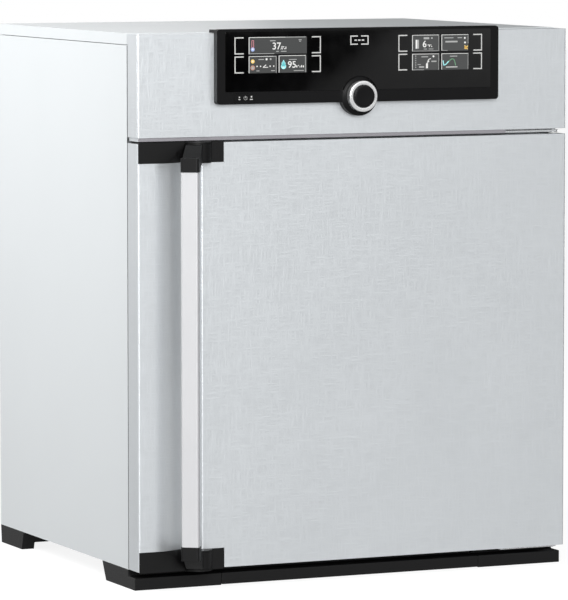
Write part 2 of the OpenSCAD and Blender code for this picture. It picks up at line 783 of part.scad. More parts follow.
module fan_cover() {
    w = fan_cover_w / 2;
    z0 = liner_z1 - fan_cover_h;
    color("silver") difference() {
        span([-w, w], [fan_y - w, fan_y + w], [z0, liner_z1]);
        span([-w + cover_t, w - cover_t], [fan_y - w + cover_t, fan_y + w - cover_t], [z0 + cover_t, liner_z1 + 1]);
        for (r = [18, 34, 50]) for (a = [0:360 / round(r / 3):359])
            translate([r * cos(a), fan_y + r * sin(a), z0 - 1]) cylinder(d = 9, h = 3);
        for (i = [-5:5]) span([i * 24 - 8, i * 24 + 8], [fan_y - w - 1, fan_y + w + 1], [z0 + 10, liner_z1 - 10]);
    }
}

module fan_wheel() {
    r = fan_d / 2;
    color("gainsboro") {
        z_rod(0, fan_y, [fan_z1 - fan_h, fan_z1 - fan_h + 1.5], fan_d);
        z_rod(0, fan_y, [fan_z1 - fan_h, fan_z1], 24);
        z_rod(0, fan_y, [fan_z1 - fan_h, deck_z + sheet_t + 36], fan_shaft_d);
        for (a = [0:20:340]) translate([0, fan_y, 0]) rotate(a)
            span([r * 0.6, r - 1], [-0.6, 0.6], [fan_z1 - fan_h, fan_z1]);
    }
}

module chamber_sensors() {
    top = deck_z + sheet_t;
    color("silver") for (sx = [-1, 1]) difference() {
        union() {
            z_rod(sx * sensor_x, sensor_y, [liner_z1 - sensor_len, top + sensor_top], sensor_d);
            z_rod(sx * sensor_x, sensor_y, [top, top + sensor_top / 4], sensor_d + sensor_flange);
        }
        for (a = [0:60:300], i = [1:4]) translate([sx * sensor_x, sensor_y, liner_z1 - sensor_len * (i * 0.19 + 0.03)])
            rotate([0, 90, a]) cylinder(d = 3, h = sensor_d);
    }
}

module gas_valve() {
    color("goldenrod") difference() {
        union() {
            span([gas_x - valve_w / 2, gas_x + valve_w / 2], [valve_y, valve_y + valve_w],
                [deck_z + sheet_t, gas_z + valve_cap]);
            z_rod(gas_x, valve_y + valve_w / 2, [gas_z + valve_cap, gas_z + valve_cap + coil_h], coil_d);
        }
        for (y = [valve_y - 1, valve_y + valve_w - 8]) y_rod(gas_x, gas_z, [y, y + 9], tube_d + 2 * slip);
    }
}

module gas_filter() {
    y = valve_y + 60;
    color("white") difference() {
        union() {
            y_rod(gas_x, gas_z, [y, y + 14], 42);
            y_rod(gas_x, gas_z, [y - 9, y + 23], 14);
        }
        for (y2 = [y - 10, y + 15]) y_rod(gas_x, gas_z, [y2, y2 + 9], tube_d + 2 * slip);
    }
}

module gas_tube() {
    y = valve_y + 60;
    color("lightsteelblue") {
        y_rod(gas_x, gas_z, [valve_y + 30, y - 3], tube_d);
        y_rod(gas_x, gas_z, [y + 16, back - 12], tube_d);
        y_rod(gas_x, gas_z, [tube_y + elbow_r, valve_y + 6], tube_d);
        translate([gas_x, tube_y + elbow_r, gas_z - elbow_r]) rotate([0, -90, 0]) rotate([0, 0, -90])
            rotate_extrude(angle = 90) translate([elbow_r, 0]) circle(d = tube_d);
        z_rod(gas_x, tube_y, [liner_z1 - 10, gas_z - elbow_r], tube_d);
    }
}

module gas_inlet() {
    color("goldenrod") difference() {
        union() {
            y_rod(gas_x, gas_z, [back - 20, back - sheet_t], nipple_d + 10);
            y_rod(gas_x, gas_z, [back - 4, back + 2], nipple_d + 4);
            y_rod(gas_x, gas_z, [back - 4, back + 2 + nipple_len - 10], nipple_d);
        }
        y_rod(gas_x, gas_z, [back - 21, back - 11], tube_d + 2 * slip);
        y_rod(gas_x, gas_z, [back - 22, back + nipple_len + 3], nipple_d / 2);
    }
}

module mains_inlet() {
    x = [inlet_x - inlet_w / 2, inlet_x + inlet_w / 2];
    z = [inlet_z - inlet_h / 2, inlet_z + inlet_h / 2];
    color([0.15, 0.15, 0.15]) {
        difference() {
            union() {
                front_slab(x, [back, back + 3], z, 4);
                span([x[0] + 6, x[1] - 6], [back - 32, back + 1], [z[0] + 6, z[1] - 6]);
            }
            span([inlet_x - 12, inlet_x + 12], [back - 14, back + 4], [inlet_z - 8, inlet_z + 9]);
        }
        for (dx = [-6, 0, 6]) span([inlet_x + dx - 1, inlet_x + dx + 1], [back - 16, back - 2],
            [inlet_z + (dx == 0 ? 3 : -2) - 2, inlet_z + (dx == 0 ? 3 : -2) + 2]);
    }
}

module access_port() {
    color("white") difference() {
        union() {
            y_rod(-port_x, port_z, [liner_back - 4, back + 3], port_d + 2 * port_wall);
            y_rod(-port_x, port_z, [back, back + 3], port_d + 20);
        }
        y_rod(-port_x, port_z, [liner_back - 5, back + 4], port_d);
    }
}

module port_stoppers() {
    color("whitesmoke") {
        y_rod(-port_x, port_z, [back - 16, back + 3], port_d - 0.4);
        y_rod(-port_x, port_z, [back + 3 + clear, back + 8], port_d + 8);
        y_rod(-port_x, port_z, [back + 2, back + 4], port_d - 4);
        y_rod(-port_x, port_z, [liner_back - 4, liner_back + 12], port_d - 0.4);
        y_rod(-port_x, port_z, [liner_back - 9, liner_back - 4 - clear], port_d + 8);
        y_rod(-port_x, port_z, [liner_back - 5, liner_back - 3], port_d - 4);
    }
}

module rear_bumpers() {
    w = bumper_w / 2;
    x = right - bumper_in;
    color([0.15, 0.15, 0.15]) for (sx = [-1, 1], z = [foot_h + bumper_low, deck_z + bumper_high])
        front_slab([sx * x - w, sx * x + w], [back, back + bumper_out], [z - w, z + w], 6);
}

module front_foot() {
    y = front + foot_in;
    translate([right - foot_w, 0, 0]) rotate([90, 0, 90]) linear_extrude(foot_w) polygon([
        [y, 0], [y + front_foot_d - 15, 0], [y + front_foot_d, foot_h], [face, foot_h],
        [face, plinth_h], [y, plinth_h]]);
}

module front_feet() {
    y = front + foot_in;
    color([0.14, 0.14, 0.14]) difference() {
        union() {
            front_foot();
            mirror([1, 0, 0]) front_foot();
        }
        span([hinge_x - hinge_plate_w + hinge_in - 1, right + 1], [face - 1, face + 70],
            [foot_h - 2 - hinge_plate_t - 2.5, foot_h + 1]);
        for (side = [0, 1]) mirror([side, 0, 0])
            span([right - foot_w + 14, right - 14], [face + 12, face + 60], [-1, foot_h - 12]);
    }
}

module front_plinth() {
    y = front + foot_in;
    x = right - foot_w - clear;
    color([0.14, 0.14, 0.14]) {
        span([-x, x], [y, y + 3], [1, plinth_h]);
        span([-x, x], [y, face + 8], [plinth_h - 3, plinth_h]);
        span([-x, x], [face + 5, face + 8], [plinth_h - 3, foot_h]);
    }
}

module rear_feet() {
    y1 = back;
    color([0.14, 0.14, 0.14]) for (side = [0, 1]) mirror([side, 0, 0]) {
        translate([right - 21, 0, 0]) rotate([90, 0, 90]) linear_extrude(21) polygon([
            [y1 - rear_foot_d + 9, 0], [y1 - 3, 0], [y1, foot_h], [y1 - rear_foot_d, foot_h]]);
        span([right - 70, right - 20], [y1 - rear_foot_d + 4, y1 - 2], [11, foot_h]);
    }
}

module case_screws() {
    color("silver") for (sx = [-1, 1], z = screw_zs) {
        y_rod(sx * screw_x, z, [back - screw_len, back + 0.5], screw_d);
        y_rod(sx * screw_x, z, [back, back + 2.4], screw_d * 2);
    }
}

// A hinge plate with its pin, lying on z; the pin points up or down
module hinge_plate(z, pin_z) {
    x0 = hinge_x - hinge_plate_w + hinge_in;
    difference() {
        union() {
            plan_slab([x0, hinge_x + 6], [hinge_y - 8, face], z, 5);
            span([x0, hinge_x + 6], [face - 8, face], z);
        }
        for (x = [x0 + hinge_hole_in, x0 + hinge_plate_w - hinge_hole_end])
            z_rod(x, face - 14, [z[0] - 1, z[1] + 1], 5);
    }
    z_rod(hinge_x, hinge_y, pin_z, hinge_pin_d);
    z_rod(hinge_x, hinge_y, z, 16);
}

module top_hinge_plate() {
    x0 = hinge_x - hinge_plate_w + hinge_in;
    z0 = door_z1 + bush_flange + 0.8;
    color("silver") {
        hinge_plate([z0, z0 + hinge_plate_t], [door_z1 - pin_in, z0 + hinge_plate_t + 1.5]);
        difference() {
            span([x0, hinge_x + 6], [face - hinge_plate_t, face], [z0, fascia_z0 + 20]);
            for (x = [x0 + hinge_hole_in, x0 + hinge_plate_w - hinge_strap_hole_end])
                y_rod(x, fascia_z0 + 8, [face - 5, face + 1], 5);
        }
    }
}

module bottom_hinge_plate() {
    x0 = hinge_x - hinge_plate_w + hinge_in;
    z1 = door_z0 - bush_flange - 0.5;
    color("silver") {
        hinge_plate([z1 - hinge_plate_t, z1], [z1 - hinge_plate_t - 1.5, door_z0 + pin_in]);
        span([x0, hinge_x + 6], [face - 1, face + 60], [z1 - hinge_plate_t, z1]);
        span([x0, hinge_x + 6], [face + 3, face + 60], [z1 - 1, foot_h]);
    }
}

module latch_strike() {
    x = [tongue_x0 - 4, tongue_x0 + tongue_w + tongue_stroke + 4];
    color("silver") difference() {
        span(x, [face + frame_t, face + nose_out + 3], [door_mid - 14, door_mid + 14]);
        span([x[0] + 2, x[1] - 2], [face, face + nose_out + 1.5], [door_mid - 12, door_mid + 12]);
    }
}

module glass_hinge_posts() {
    d = knuckle_d;
    color("silver") {
        for (z = glass_hinges) difference() {
            union() {
                z_rod(glass_axis_x, glass_axis_y, [z - glass_hinge_h / 2, z - clear], d);
                span([glass_axis_x - 1, glass_axis_x + d / 2], [glass_axis_y, face],
                    [z - glass_hinge_h / 2, z - clear]);
                z_rod(glass_axis_x, glass_axis_y, [z - 1, z + glass_hinge_h / 2 - 2], d / 2);
            }
        }
        span([-pane_x - 11, -pane_x - 2], [face - 7, face], [door_mid - 30, door_mid - 10]);
    }
}

// The hand groove from above, grown by c, with y = 0 at the door's front. Each hollow arc lies groove_ease
// deeper than the arc before it, so that they cross instead of only touching.
module groove_plan(c) {
    start = groove_mid - groove_w;
    turn = groove_mid - (groove_bowl_r + c) * sin(groove_tilt);
    turn_y = groove_bulge_r - (groove_bulge_r - c) * cos(groove_tilt);
    over = 5;
    difference() {
        translate([start, -over]) square([turn - start, turn_y + over]);
        translate([start, groove_bulge_r]) circle(r = groove_bulge_r - c, $fn = 256);
    }
    intersection() {
        translate([groove_mid, groove_depth - groove_ease - groove_bowl_r])
            circle(r = groove_bowl_r + c, $fn = 128);
        translate([start, -over]) square([groove_w, groove_depth + c + 2 * over]);
    }
    intersection() {
        translate([groove_mid, groove_depth - groove_wall_r]) circle(r = groove_wall_r + c, $fn = 128);
        translate([start, -over]) square([groove_w + groove_right + c + 2 * over, groove_depth + c + 2 * over]);
    }
}

// The door's outline from above, drawn in by inset, with the hand groove
module door_plan(inset, y1) {
    difference() {
        round_rect([left + inset, right - inset], [front + inset, y1], max(bend_r - inset, 0.8));
        translate([0, front]) groove_plan(inset);
    }
}

// The two corner spaces that the handle brackets fill
module bracket_spaces(c) {
    span([bracket_x0 - c, bracket_x1 + c], [front - 5, front + bracket_d + c],
        [top_bracket_z0 - c, top_bracket_z1 + 5]);
    span([bracket_x0 - c, bracket_x1 + c], [front - 5, front + bracket_d + c],
        [low_bracket_z0 - 5, low_bracket_z1 + c]);
}

// Both hinge bushes as solid pegs, c larger all round
module bush_spaces(c) {
    z_rod(hinge_x, hinge_y, [door_z1 - bush_len - c, door_z1 + 5], bush_d + 2 * c);
    z_rod(hinge_x, hinge_y, [door_z0 - 5, door_z0 + bush_len + c], bush_d + 2 * c);
}

module door_skin() {
    y1 = door_back;
    color("gainsboro") difference() {
        translate([0, 0, door_z0]) linear_extrude(door_z1 - door_z0) door_plan(0, y1);
        translate([0, 0, door_z0 + sheet_t]) linear_extrude(door_z1 - door_z0 - 2 * sheet_t)
            door_plan(sheet_t, y1 + 8);
        bracket_spaces(0.2);
        bush_spaces(0.1);
    }
}

module door_inner_panel() {
    x = in_right - clear;
    y1 = door_back;
    z = [door_z0 + sheet_t + clear, door_z1 - sheet_t - clear];
    t = sheet_t;
    color("silver") difference() {
        union() {
            span([-x, x], [y1 - t, y1], z);
            span([-dish_x - t, dish_x + t], [dish_floor - t, y1], [dish_z0 - t, dish_z1 + t]);
        }
        span([-dish_x, dish_x], [dish_floor, y1 + 1], [dish_z0, dish_z1]);
        span([tongue_x0 - 1, tongue_x0 + tongue_w + tongue_stroke + 1], [y1 - 5, y1 + 1],
            [door_mid - 11.5, door_mid + 11.5]);
        bush_spaces(0.3);
    }
}

module door_insulation() {
    i = sheet_t + 0.4;
    y1 = door_back - sheet_t - clear;
    color("white") difference() {
        translate([0, 0, door_z0 + i]) linear_extrude(door_z1 - door_z0 - 2 * i) door_plan(i, y1);
        span([-dish_x - 2, dish_x + 2], [dish_floor - 2, door_back], [dish_z0 - 2, dish_z1 + 2]);
        bracket_spaces(0.5);
        bush_spaces(0.5);
        span([tongue_x0 - 16, tongue_x0 + tongue_w + tongue_stroke + 3], [door_back - 15, door_back],
            [door_mid - 17, door_mid + 17]);
        for (z = [door_z1 - 60, door_z0 + 40]) z_rod(axis_x, axis_y, [z, z + 20], 10);
    }
}

module door_gasket() {
    color("gray") front_loop([left + gasket_in, right - gasket_in], [door_back, face - clear],
        [door_z0 + gasket_in, door_z1 - gasket_in], gasket_w);
}

module hinge_bushes() {
    color("white") for (end = [0, 1]) difference() {
        z = end == 1 ? [door_z1 - bush_len, door_z1 + bush_flange] : [door_z0 - bush_flange, door_z0 + bush_len];
        zf = end == 1 ? [door_z1, door_z1 + bush_flange] : [door_z0 - bush_flange, door_z0];
        union() {
            z_rod(hinge_x, hinge_y, z, bush_d);
            z_rod(hinge_x, hinge_y, zf, bush_d + 1);
        }
        z_rod(hinge_x, hinge_y, [z[0] - 1, z[1] + 1], hinge_pin_d + 2 * slip);
    }
}

// The outline of an arm from above, with the hub at the origin and the bar towards -Y
module arm_plan(c) {
    polygon([[-arm_w / 2 - c, 0], [arm_w / 2 + c, 0],
        [bar_w / 2 + block_wall + c, -arm_len], [-bar_w / 2 - block_wall - c, -arm_len]]);
}

// The lower handle bracket, with its pin lugs at the top and bottom
module bracket_shape() {
    z0 = low_bracket_z0;
    z1 = low_bracket_z1;
    tilt = atan(groove_depth / (bracket_h - 4));
    difference() {
        front_slab([bracket_x0, bracket_x1], [front, front + bracket_d], [z0, z1], 3);
        z_rod(axis_x, axis_y, [z0 + lug_t, z1 - lug_t], hub_d + 2 * hub_clear);
        translate([axis_x, axis_y, z0 + lug_t]) rotate(-arm_angle)
            linear_extrude(bracket_h - 2 * lug_t) arm_plan(1);
        z_rod(axis_x, axis_y, [z0 - 1, z1 + 1], handle_pin_d + 0.2);
        translate([0, front - groove_depth * (1 / cos(tilt) - 1), z1]) rotate([-tilt, 0, 0])
            translate([0, 0, -2 * bracket_h]) linear_extrude(4 * bracket_h) groove_plan(0);
    }
    intersection() {
        difference() {
            for (z = [z0, z1 - lug_t]) z_rod(axis_x, axis_y, [z, z + lug_t], hub_d);
            z_rod(axis_x, axis_y, [z0 - 1, z1 + 1], handle_pin_d + 0.2);
        }
        span([axis_x - hub_d, axis_x + hub_d], [axis_y - hub_d, front + 15], [z0, z1]);
    }
}

module top_handle_bracket() {
    color([0.13, 0.13, 0.13]) translate([0, 0, top_bracket_z1 + low_bracket_z0]) mirror([0, 0, 1]) bracket_shape();
}

module bottom_handle_bracket() color([0.13, 0.13, 0.13]) bracket_shape();

module handle_pins() {
    color("silver") for (z0 = [top_bracket_z0, low_bracket_z0])
        z_rod(axis_x, axis_y, [z0, z0 + bracket_h], handle_pin_d);
}

// The upper arm; its side view runs from the hub down to the bar's end block
module arm_shape() {
    z0 = top_bracket_z0 + lug_t + clear;
    z1 = top_bracket_z1 - lug_t - clear;
    block_top = z1 - arm_drop + 3;
    block_low = block_top - end_block_h;
    difference() {
        translate([axis_x, axis_y, 0]) rotate(-arm_angle) difference() {
            union() {
                translate([0, 0, z0]) cylinder(d = hub_d, h = z1 - z0);
                intersection() {
                    translate([0, 0, block_low - 1]) linear_extrude(z1 - block_low + 2) {
                        arm_plan(0);
                        round_rect([-bar_w / 2 - block_wall, bar_w / 2 + block_wall],
                            [-arm_end, -arm_end + bar_t + 2 * block_wall], bar_r + block_wall);
                    }
                    rotate([90, 0, 90]) translate([0, 0, -hub_d]) linear_extrude(2 * hub_d) polygon([
                        [0, z0], [0, z1], [-16, z1], [-28, z1 - 3], [-arm_len + bar_t / 2 + 1, block_top],
                        [-arm_end - 2, block_top], [-arm_end - 2, block_low],
                        [-arm_len + bar_t / 2, block_low], [-arm_len + bar_t / 2 + 4, block_low + 6], [-22, z0]]);
                }
            }
            translate([0, 0, block_low - 1]) linear_extrude(bar_sink + 1 + clear)
                round_rect([-bar_w / 2 - 0.1, bar_w / 2 + 0.1],
                    [-arm_len - bar_t / 2 - 0.1, -arm_len + bar_t / 2 + 0.1], bar_r);
        }
        z_rod(axis_x, axis_y, [z0 - 1, z1 + 1], handle_pin_d + 2 * slip);
    }
}

module top_handle_arm() color([0.13, 0.13, 0.13]) arm_shape();

module bottom_handle_arm() {
    color([0.13, 0.13, 0.13]) translate([0, 0, top_bracket_z1 + low_bracket_z0]) mirror([0, 0, 1]) arm_shape();
}

module handle_bar() {
    block_low = top_bracket_z1 - lug_t - clear - arm_drop + 3 - end_block_h;
    z1 = block_low + bar_sink;
    z0 = top_bracket_z1 + low_bracket_z0 - z1;
    color("gainsboro") translate([axis_x, axis_y, z0]) rotate(-arm_angle) linear_extrude(z1 - z0)
        round_rect([-bar_w / 2, bar_w / 2], [-arm_len - bar_t / 2, -arm_len + bar_t / 2], bar_r);
}

module latch_tongue() {
    x = [tongue_x0, tongue_x0 + tongue_w];
    color("silver") {
        span([x[0] - 8, x[1]], [door_back - 12, door_back - sheet_t - clear],
            [door_mid - tongue_h / 2, door_mid + tongue_h / 2]);
        span(x, [door_back - 3, door_back + nose_out - 2], [door_mid - 10, door_mid + 10]);
        intersection() {
            span(x, [door_back, door_back + nose_out], [door_mid - 10, door_mid + 10]);
            z_rod(x[0] + tongue_w / 2, door_back + nose_out - tongue_w / 2, [door_mid - 10, door_mid + 10], tongue_w);
        }
    }
}

module glass_pane() {
    color("lightcyan") front_slab([-pane_x, pane_x], [pane_front, pane_back], [pane_z0, pane_z1], 6);
}

module glass_fittings() {
    d = knuckle_d;
    y = [pane_front - strap_t, pane_front];
    color("silver") {
        for (z = glass_hinges) difference() {
            union() {
                z_rod(glass_axis_x, glass_axis_y, [z, z + glass_hinge_h / 2], d);
                span([pane_x - 32, glass_axis_x], y, [z, z + glass_hinge_h / 2]);
                span([glass_axis_x - d / 2, glass_axis_x], [y[0], glass_axis_y], [z, z + glass_hinge_h / 2]);
            }
            z_rod(glass_axis_x, glass_axis_y, [z - 1, z + glass_hinge_h / 2 - 1.5], d / 2 + 2 * slip);
        }
        span([-pane_x - 10, -pane_x + 30], y, [door_mid - 30, door_mid + 30]);
        span([-pane_x + 8, -pane_x + 14], [y[0] - fit_out + 3, y[1]], [door_mid - 25, door_mid + 25]);
        span([-pane_x - 10, -pane_x - 2], [y[0], face - 7 - clear], [door_mid - 29, door_mid - 11]);
    }
}

// A perforated shelf with folded edges, standing at height z above the chamber floor
module shelf(z) {
    z0 = liner_z0 + z;
    cols = floor((2 * shelf_x - 60) / shelf_pitch / 2);
    rows = floor((shelf_y1 - shelf_y0 - 60) / shelf_pitch / 2);
    mid = (shelf_y0 + shelf_y1) / 2;
    difference() {
        span([-shelf_x, shelf_x], [shelf_y0, shelf_y1], [z0, z0 + shelf_fold]);
        span([-shelf_x + shelf_t, shelf_x - shelf_t], [shelf_y0 + shelf_t, shelf_y1 - shelf_t],
            [z0 + shelf_t, z0 + shelf_fold + 1]);
        for (i = [-cols:cols], j = [-rows:rows])
            z_rod(i * shelf_pitch, mid + j * shelf_pitch, [z0 - 1, z0 + shelf_t + 1], shelf_hole_d);
    }
}

module upper_shelf() color("silver") shelf(upper_shelf_z);

module lower_shelf() color("silver") shelf(lower_shelf_z);

module water_tray() {
    z0 = liner_z0 + clear;
    y0 = shelf_y0 + 2;
    color("lightgray") difference() {
        union() {
            plan_slab([-tray_w / 2, tray_w / 2], [y0, y0 + tray_d], [z0, z0 + tray_h], 16);
            plan_slab([-tray_w / 2 - tray_lip, tray_w / 2 + tray_lip], [y0 - 2, y0 + tray_d + 2],
                [z0 + tray_h - shelf_t, z0 + tray_h], 18);
        }
        plan_slab([-tray_w / 2 + shelf_t, tray_w / 2 - shelf_t], [y0 + shelf_t, y0 + tray_d - shelf_t],
            [z0 + shelf_t, z0 + tray_h + 1], 16 - shelf_t);
    }
}

left_side_panel();
right_side_panel();
top_cover();
rear_panel();
base_pan();
front_fascia();
front_frame();
chamber_liner();
shelf_runners();
chamber_insulation();
chamber_gasket();
chamber_heaters();
service_deck();
panel_bezel();
touch_panel();
display_modules();
display_board();
controller_board();
power_supply();
dial_encoder();
fan_motor();
fan_cover();
chamber_sensors();
gas_valve();
gas_tube();
gas_inlet();
gas_filter();
mains_inlet();
access_port();
port_stoppers();
rear_bumpers();
front_feet();
front_plinth();
rear_feet();
case_screws();
top_hinge_plate();
bottom_hinge_plate();
latch_strike();
glass_hinge_posts();
door_skin();
door_inner_panel();
door_insulation();
door_gasket();
top_handle_bracket();
bottom_handle_bracket();
hinge_bushes();
handle_pins();
handle_bar();
top_handle_arm();
bottom_handle_arm();
latch_tongue();
glass_pane();
glass_fittings();
upper_shelf();
lower_shelf();
water_tray();
dial_ring();
dial_cap();
power_button();
fan_wheel();
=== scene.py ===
"""Looks of a carbon dioxide incubator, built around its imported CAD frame.

Lengths in the classes are millimetres in the frame's own axes: X to the right, Y to the back, Z up.
"""

import json
import logging
import math
from collections.abc import Callable, Sequence
from dataclasses import dataclass
from enum import Enum

import bmesh
import bpy
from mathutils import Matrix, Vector

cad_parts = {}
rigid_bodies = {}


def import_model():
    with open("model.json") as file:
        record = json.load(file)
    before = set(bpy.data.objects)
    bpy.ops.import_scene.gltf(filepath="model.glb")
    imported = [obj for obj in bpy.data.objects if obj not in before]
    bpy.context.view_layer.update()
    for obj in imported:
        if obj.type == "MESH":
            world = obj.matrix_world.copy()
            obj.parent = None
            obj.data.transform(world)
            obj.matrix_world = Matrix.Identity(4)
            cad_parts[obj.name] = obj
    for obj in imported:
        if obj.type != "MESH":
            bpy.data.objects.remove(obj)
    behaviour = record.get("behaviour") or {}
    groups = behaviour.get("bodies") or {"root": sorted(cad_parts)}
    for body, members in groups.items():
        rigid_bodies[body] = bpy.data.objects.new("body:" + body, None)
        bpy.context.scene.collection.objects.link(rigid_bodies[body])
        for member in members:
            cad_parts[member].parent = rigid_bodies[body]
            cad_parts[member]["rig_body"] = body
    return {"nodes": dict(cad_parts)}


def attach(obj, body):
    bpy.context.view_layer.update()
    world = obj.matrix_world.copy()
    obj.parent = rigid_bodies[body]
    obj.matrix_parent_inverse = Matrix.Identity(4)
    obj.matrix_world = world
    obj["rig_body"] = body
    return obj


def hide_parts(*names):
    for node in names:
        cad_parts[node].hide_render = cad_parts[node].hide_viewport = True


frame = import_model()
log = logging.getLogger("incubator")

MM = 0.001
WHITE = (1, 1, 1, 1)
# Noise rarely leaves these two values.
NOISE_LOW, NOISE_HIGH = 0.3, 0.7
# Lowest roughness of any finish.
SMOOTHEST = 0.02
# Triangles of a CAD node that meet at less than this many degrees are one face.
FLAT = 0.3
Tree = bpy.types.NodeTree
Socket = bpy.types.NodeSocket
Point = Sequence[float]
Pair = tuple[float, float]
Triple = tuple[float, float, float]


# Materials


def linear(hex_colour: str) -> tuple[float, ...]:
    """Turns an sRGB hex colour into the linear colour that shaders take.

    Args:
        hex_colour: Six hex digits, red first.

    Returns:
        Linear red, green and blue, and full opacity.
    """
    shares = [int(hex_colour[i : i + 2], 16) / 255 for i in (0, 2, 4)]
    red, green, blue = (s / 12.92 if s <= 0.04045 else ((s + 0.055) / 1.055) ** 2.4 for s in shares)
    return red, green, blue, 1.0


def add_node(tree: Tree, kind: str, inputs: dict | None = None, **settings: object) -> bpy.types.Node:
    """Adds one shader node with its settings and links.

    Args:
        tree: The node tree to add to.
        kind: Blender's type name of the node.
        inputs: Socket name or number to a value, or to the output socket that feeds it.
        **settings: The node's own properties, set before its inputs.

    Returns:
        The new node.
    """
    node = tree.nodes.new(kind)
    for key, value in settings.items():
        setattr(node, key, value)
    for key, value in (inputs or {}).items():
        if isinstance(value, Socket):
            tree.links.new(value, node.inputs[key])
        else:
            node.inputs[key].default_value = value
    return node


def maths(tree: Tree, operation: str, *values: float | Socket, **settings: object) -> Socket:
    """Adds a maths node with its numbers or sockets and its settings, and gives its result."""
    node = add_node(tree, "ShaderNodeMath", dict(enumerate(values)), operation=operation, **settings)
    return node.outputs[0]


def mix(tree: Tree, share: float | Socket, first: Socket, second: Socket) -> Socket:
    """Mixes two shaders by the second one's share, a number or a socket, and gives the result's socket."""
    return add_node(tree, "ShaderNodeMixShader", {0: share, 1: first, 2: second}).outputs[0]


def per_mm(size: float) -> float:
    """Gives the texture scale whose features are about size millimetres across."""
    return 1 / (size * MM)


def noise(tree: Tree, place: Socket, size: float, detail: float, roughness: float = 0.5) -> Socket:
    """Adds a noise texture whose features are size millimetres across, and gives its value from 0 to 1."""
    inputs = {"Vector": place, "Scale": per_mm(size), "Detail": detail, "Roughness": roughness}
    return add_node(tree, "ShaderNodeTexNoise", inputs).outputs["Fac"]


def stretched(tree: Tree, place: Socket, scale: Point) -> Socket:
    """Gives coordinates that are scaled along X, Y and Z."""
    return add_node(tree, "ShaderNodeMapping", {"Vector": place, "Scale": scale}).outputs["Vector"]


@dataclass(frozen=True)
class Finish:
    """A surface with a fine grain over broad, faint patches.

    Attributes:
        name: The finish in a maker's words.
        dark: Colour of the darkest patches.
        light: Colour of the lightest patches.
        roughness: Middle roughness.
        metallic: 1 for bare metal.
        grain: Size of the fine grain.
        stretch: Scale of the grain along X, Y and Z; 0.02 draws it out into brush lines.
        patch: Size of the broad patches.
        bump: Height of the grain.
        specular: Principled specular level.
        uneven: How far roughness moves with the grain.
        fine_share: How much of the colour's change is grain; the rest is patches.
    """

    name: str
    dark: str
    light: str
    roughness: float = 0.5
    metallic: float = 0.0
    grain: float = 0.8
    stretch: Triple = (1.0, 1.0, 1.0)
    patch: float = 60.0
    bump: float = 0.02
    specular: float = 0.5
    uneven: float = 0.08
    fine_share: float = 0.55

    def material(self) -> bpy.types.Material:
        """Makes the material once, and gives the same one afterwards.

        Returns:
            The Blender material.
        """
        made = bpy.data.materials.get(self.name)
        if made:
            return made
        made = bpy.data.materials.new(self.name)
        made.use_nodes = True
        tree = made.node_tree
        shader = tree.nodes["Principled BSDF"]
        plain = {"Metallic": self.metallic, "Roughness": self.roughness, "Specular IOR Level": self.specular}
        for key, value in (plain | self.extras()).items():
            shader.inputs[key].default_value = value
        place = add_node(tree, "ShaderNodeTexCoord").outputs["Object"]
        self.dress(tree, shader, place)
        return made

    def extras(self) -> dict[str, float | tuple[float, ...]]:
        """Gives the shader inputs that only this kind of finish sets."""
        return {}

    def grain_map(self, tree: Tree, place: Socket) -> Socket:
        """Builds the fine pattern.

        Args:
            tree: The material's node tree.
            place: Object coordinates.

        Returns:
            A value between 0 and 1.
        """
        return noise(tree, stretched(tree, place, self.stretch), self.grain, 2.0, 0.6)

    def dress(self, tree: Tree, shader: bpy.types.Node, place: Socket) -> None:
        """Gives the shader its colour, roughness and bump.

        Args:
            tree: The material's node tree.
            shader: Its Principled BSDF.
            place: Object coordinates.
        """
        grain = self.grain_map(tree, place)
        broad = maths(tree, "MULTIPLY", noise(tree, place, self.patch, 3.0), 1 - self.fine_share)
        share = maths(tree, "MULTIPLY_ADD", grain, self.fine_share, broad)
        shades = {"Factor": share, 6: linear(self.dark), 7: linear(self.light)}
        colour = add_node(tree, "ShaderNodeMix", shades, data_type="RGBA")
        tree.links.new(colour.outputs[2], shader.inputs["Base Color"])
        limits = {
            "Value": grain,
            "From Min": NOISE_LOW,
            "From Max": NOISE_HIGH,
            "To Min": max(self.roughness - self.uneven, SMOOTHEST),
            "To Max": min(self.roughness + self.uneven, 1.0),
        }
        rough = add_node(tree, "ShaderNodeMapRange", limits)
        tree.links.new(rough.outputs["Result"], shader.inputs["Roughness"])
        relief = {"Height": grain, "Distance": self.bump * MM, "Strength": 1.0}
        bump = add_node(tree, "ShaderNodeBump", relief)
        tree.links.new(bump.outputs["Normal"], shader.inputs["Normal"])


@dataclass(frozen=True)
class LinenSteel(Finish):
    """Stainless sheet rolled with a linen pattern: short threads that cross upright and level.

    Attributes:
        pitch: Distance between threads. The real 1 mm is too fine to show, so it is drawn coarser.
        along: How much coarser the pattern is along a thread.
    """

    pitch: float = 2.4
    along: float = 0.12

    def grain_map(self, tree: Tree, place: Socket) -> Socket:
        """Crosses upright and level threads.

        Args:
            tree: The material's node tree.
            place: Object coordinates.

        Returns:
            A value between 0 and 1.
        """
        scales = ((1.0, 1.0, self.along), (self.along, self.along, 1.0))
        threads = [noise(tree, stretched(tree, place, scale), self.pitch, 1.0) for scale in scales]
        return maths(tree, "MAXIMUM", *threads)


@dataclass(frozen=True)
class ZincSheet(Finish):
    """Hot-dip galvanised sheet: flat crystals, each its own grey.

    Attributes:
        crystal: Size of the zinc crystals.
    """

    crystal: float = 9.0

    def grain_map(self, tree: Tree, place: Socket) -> Socket:
        """Gives each crystal one value."""
        cells = add_node(tree, "ShaderNodeTexVoronoi", {"Vector": place, "Scale": per_mm(self.crystal)})
        return add_node(tree, "ShaderNodeSeparateColor", {"Color": cells.outputs["Color"]}).outputs[0]


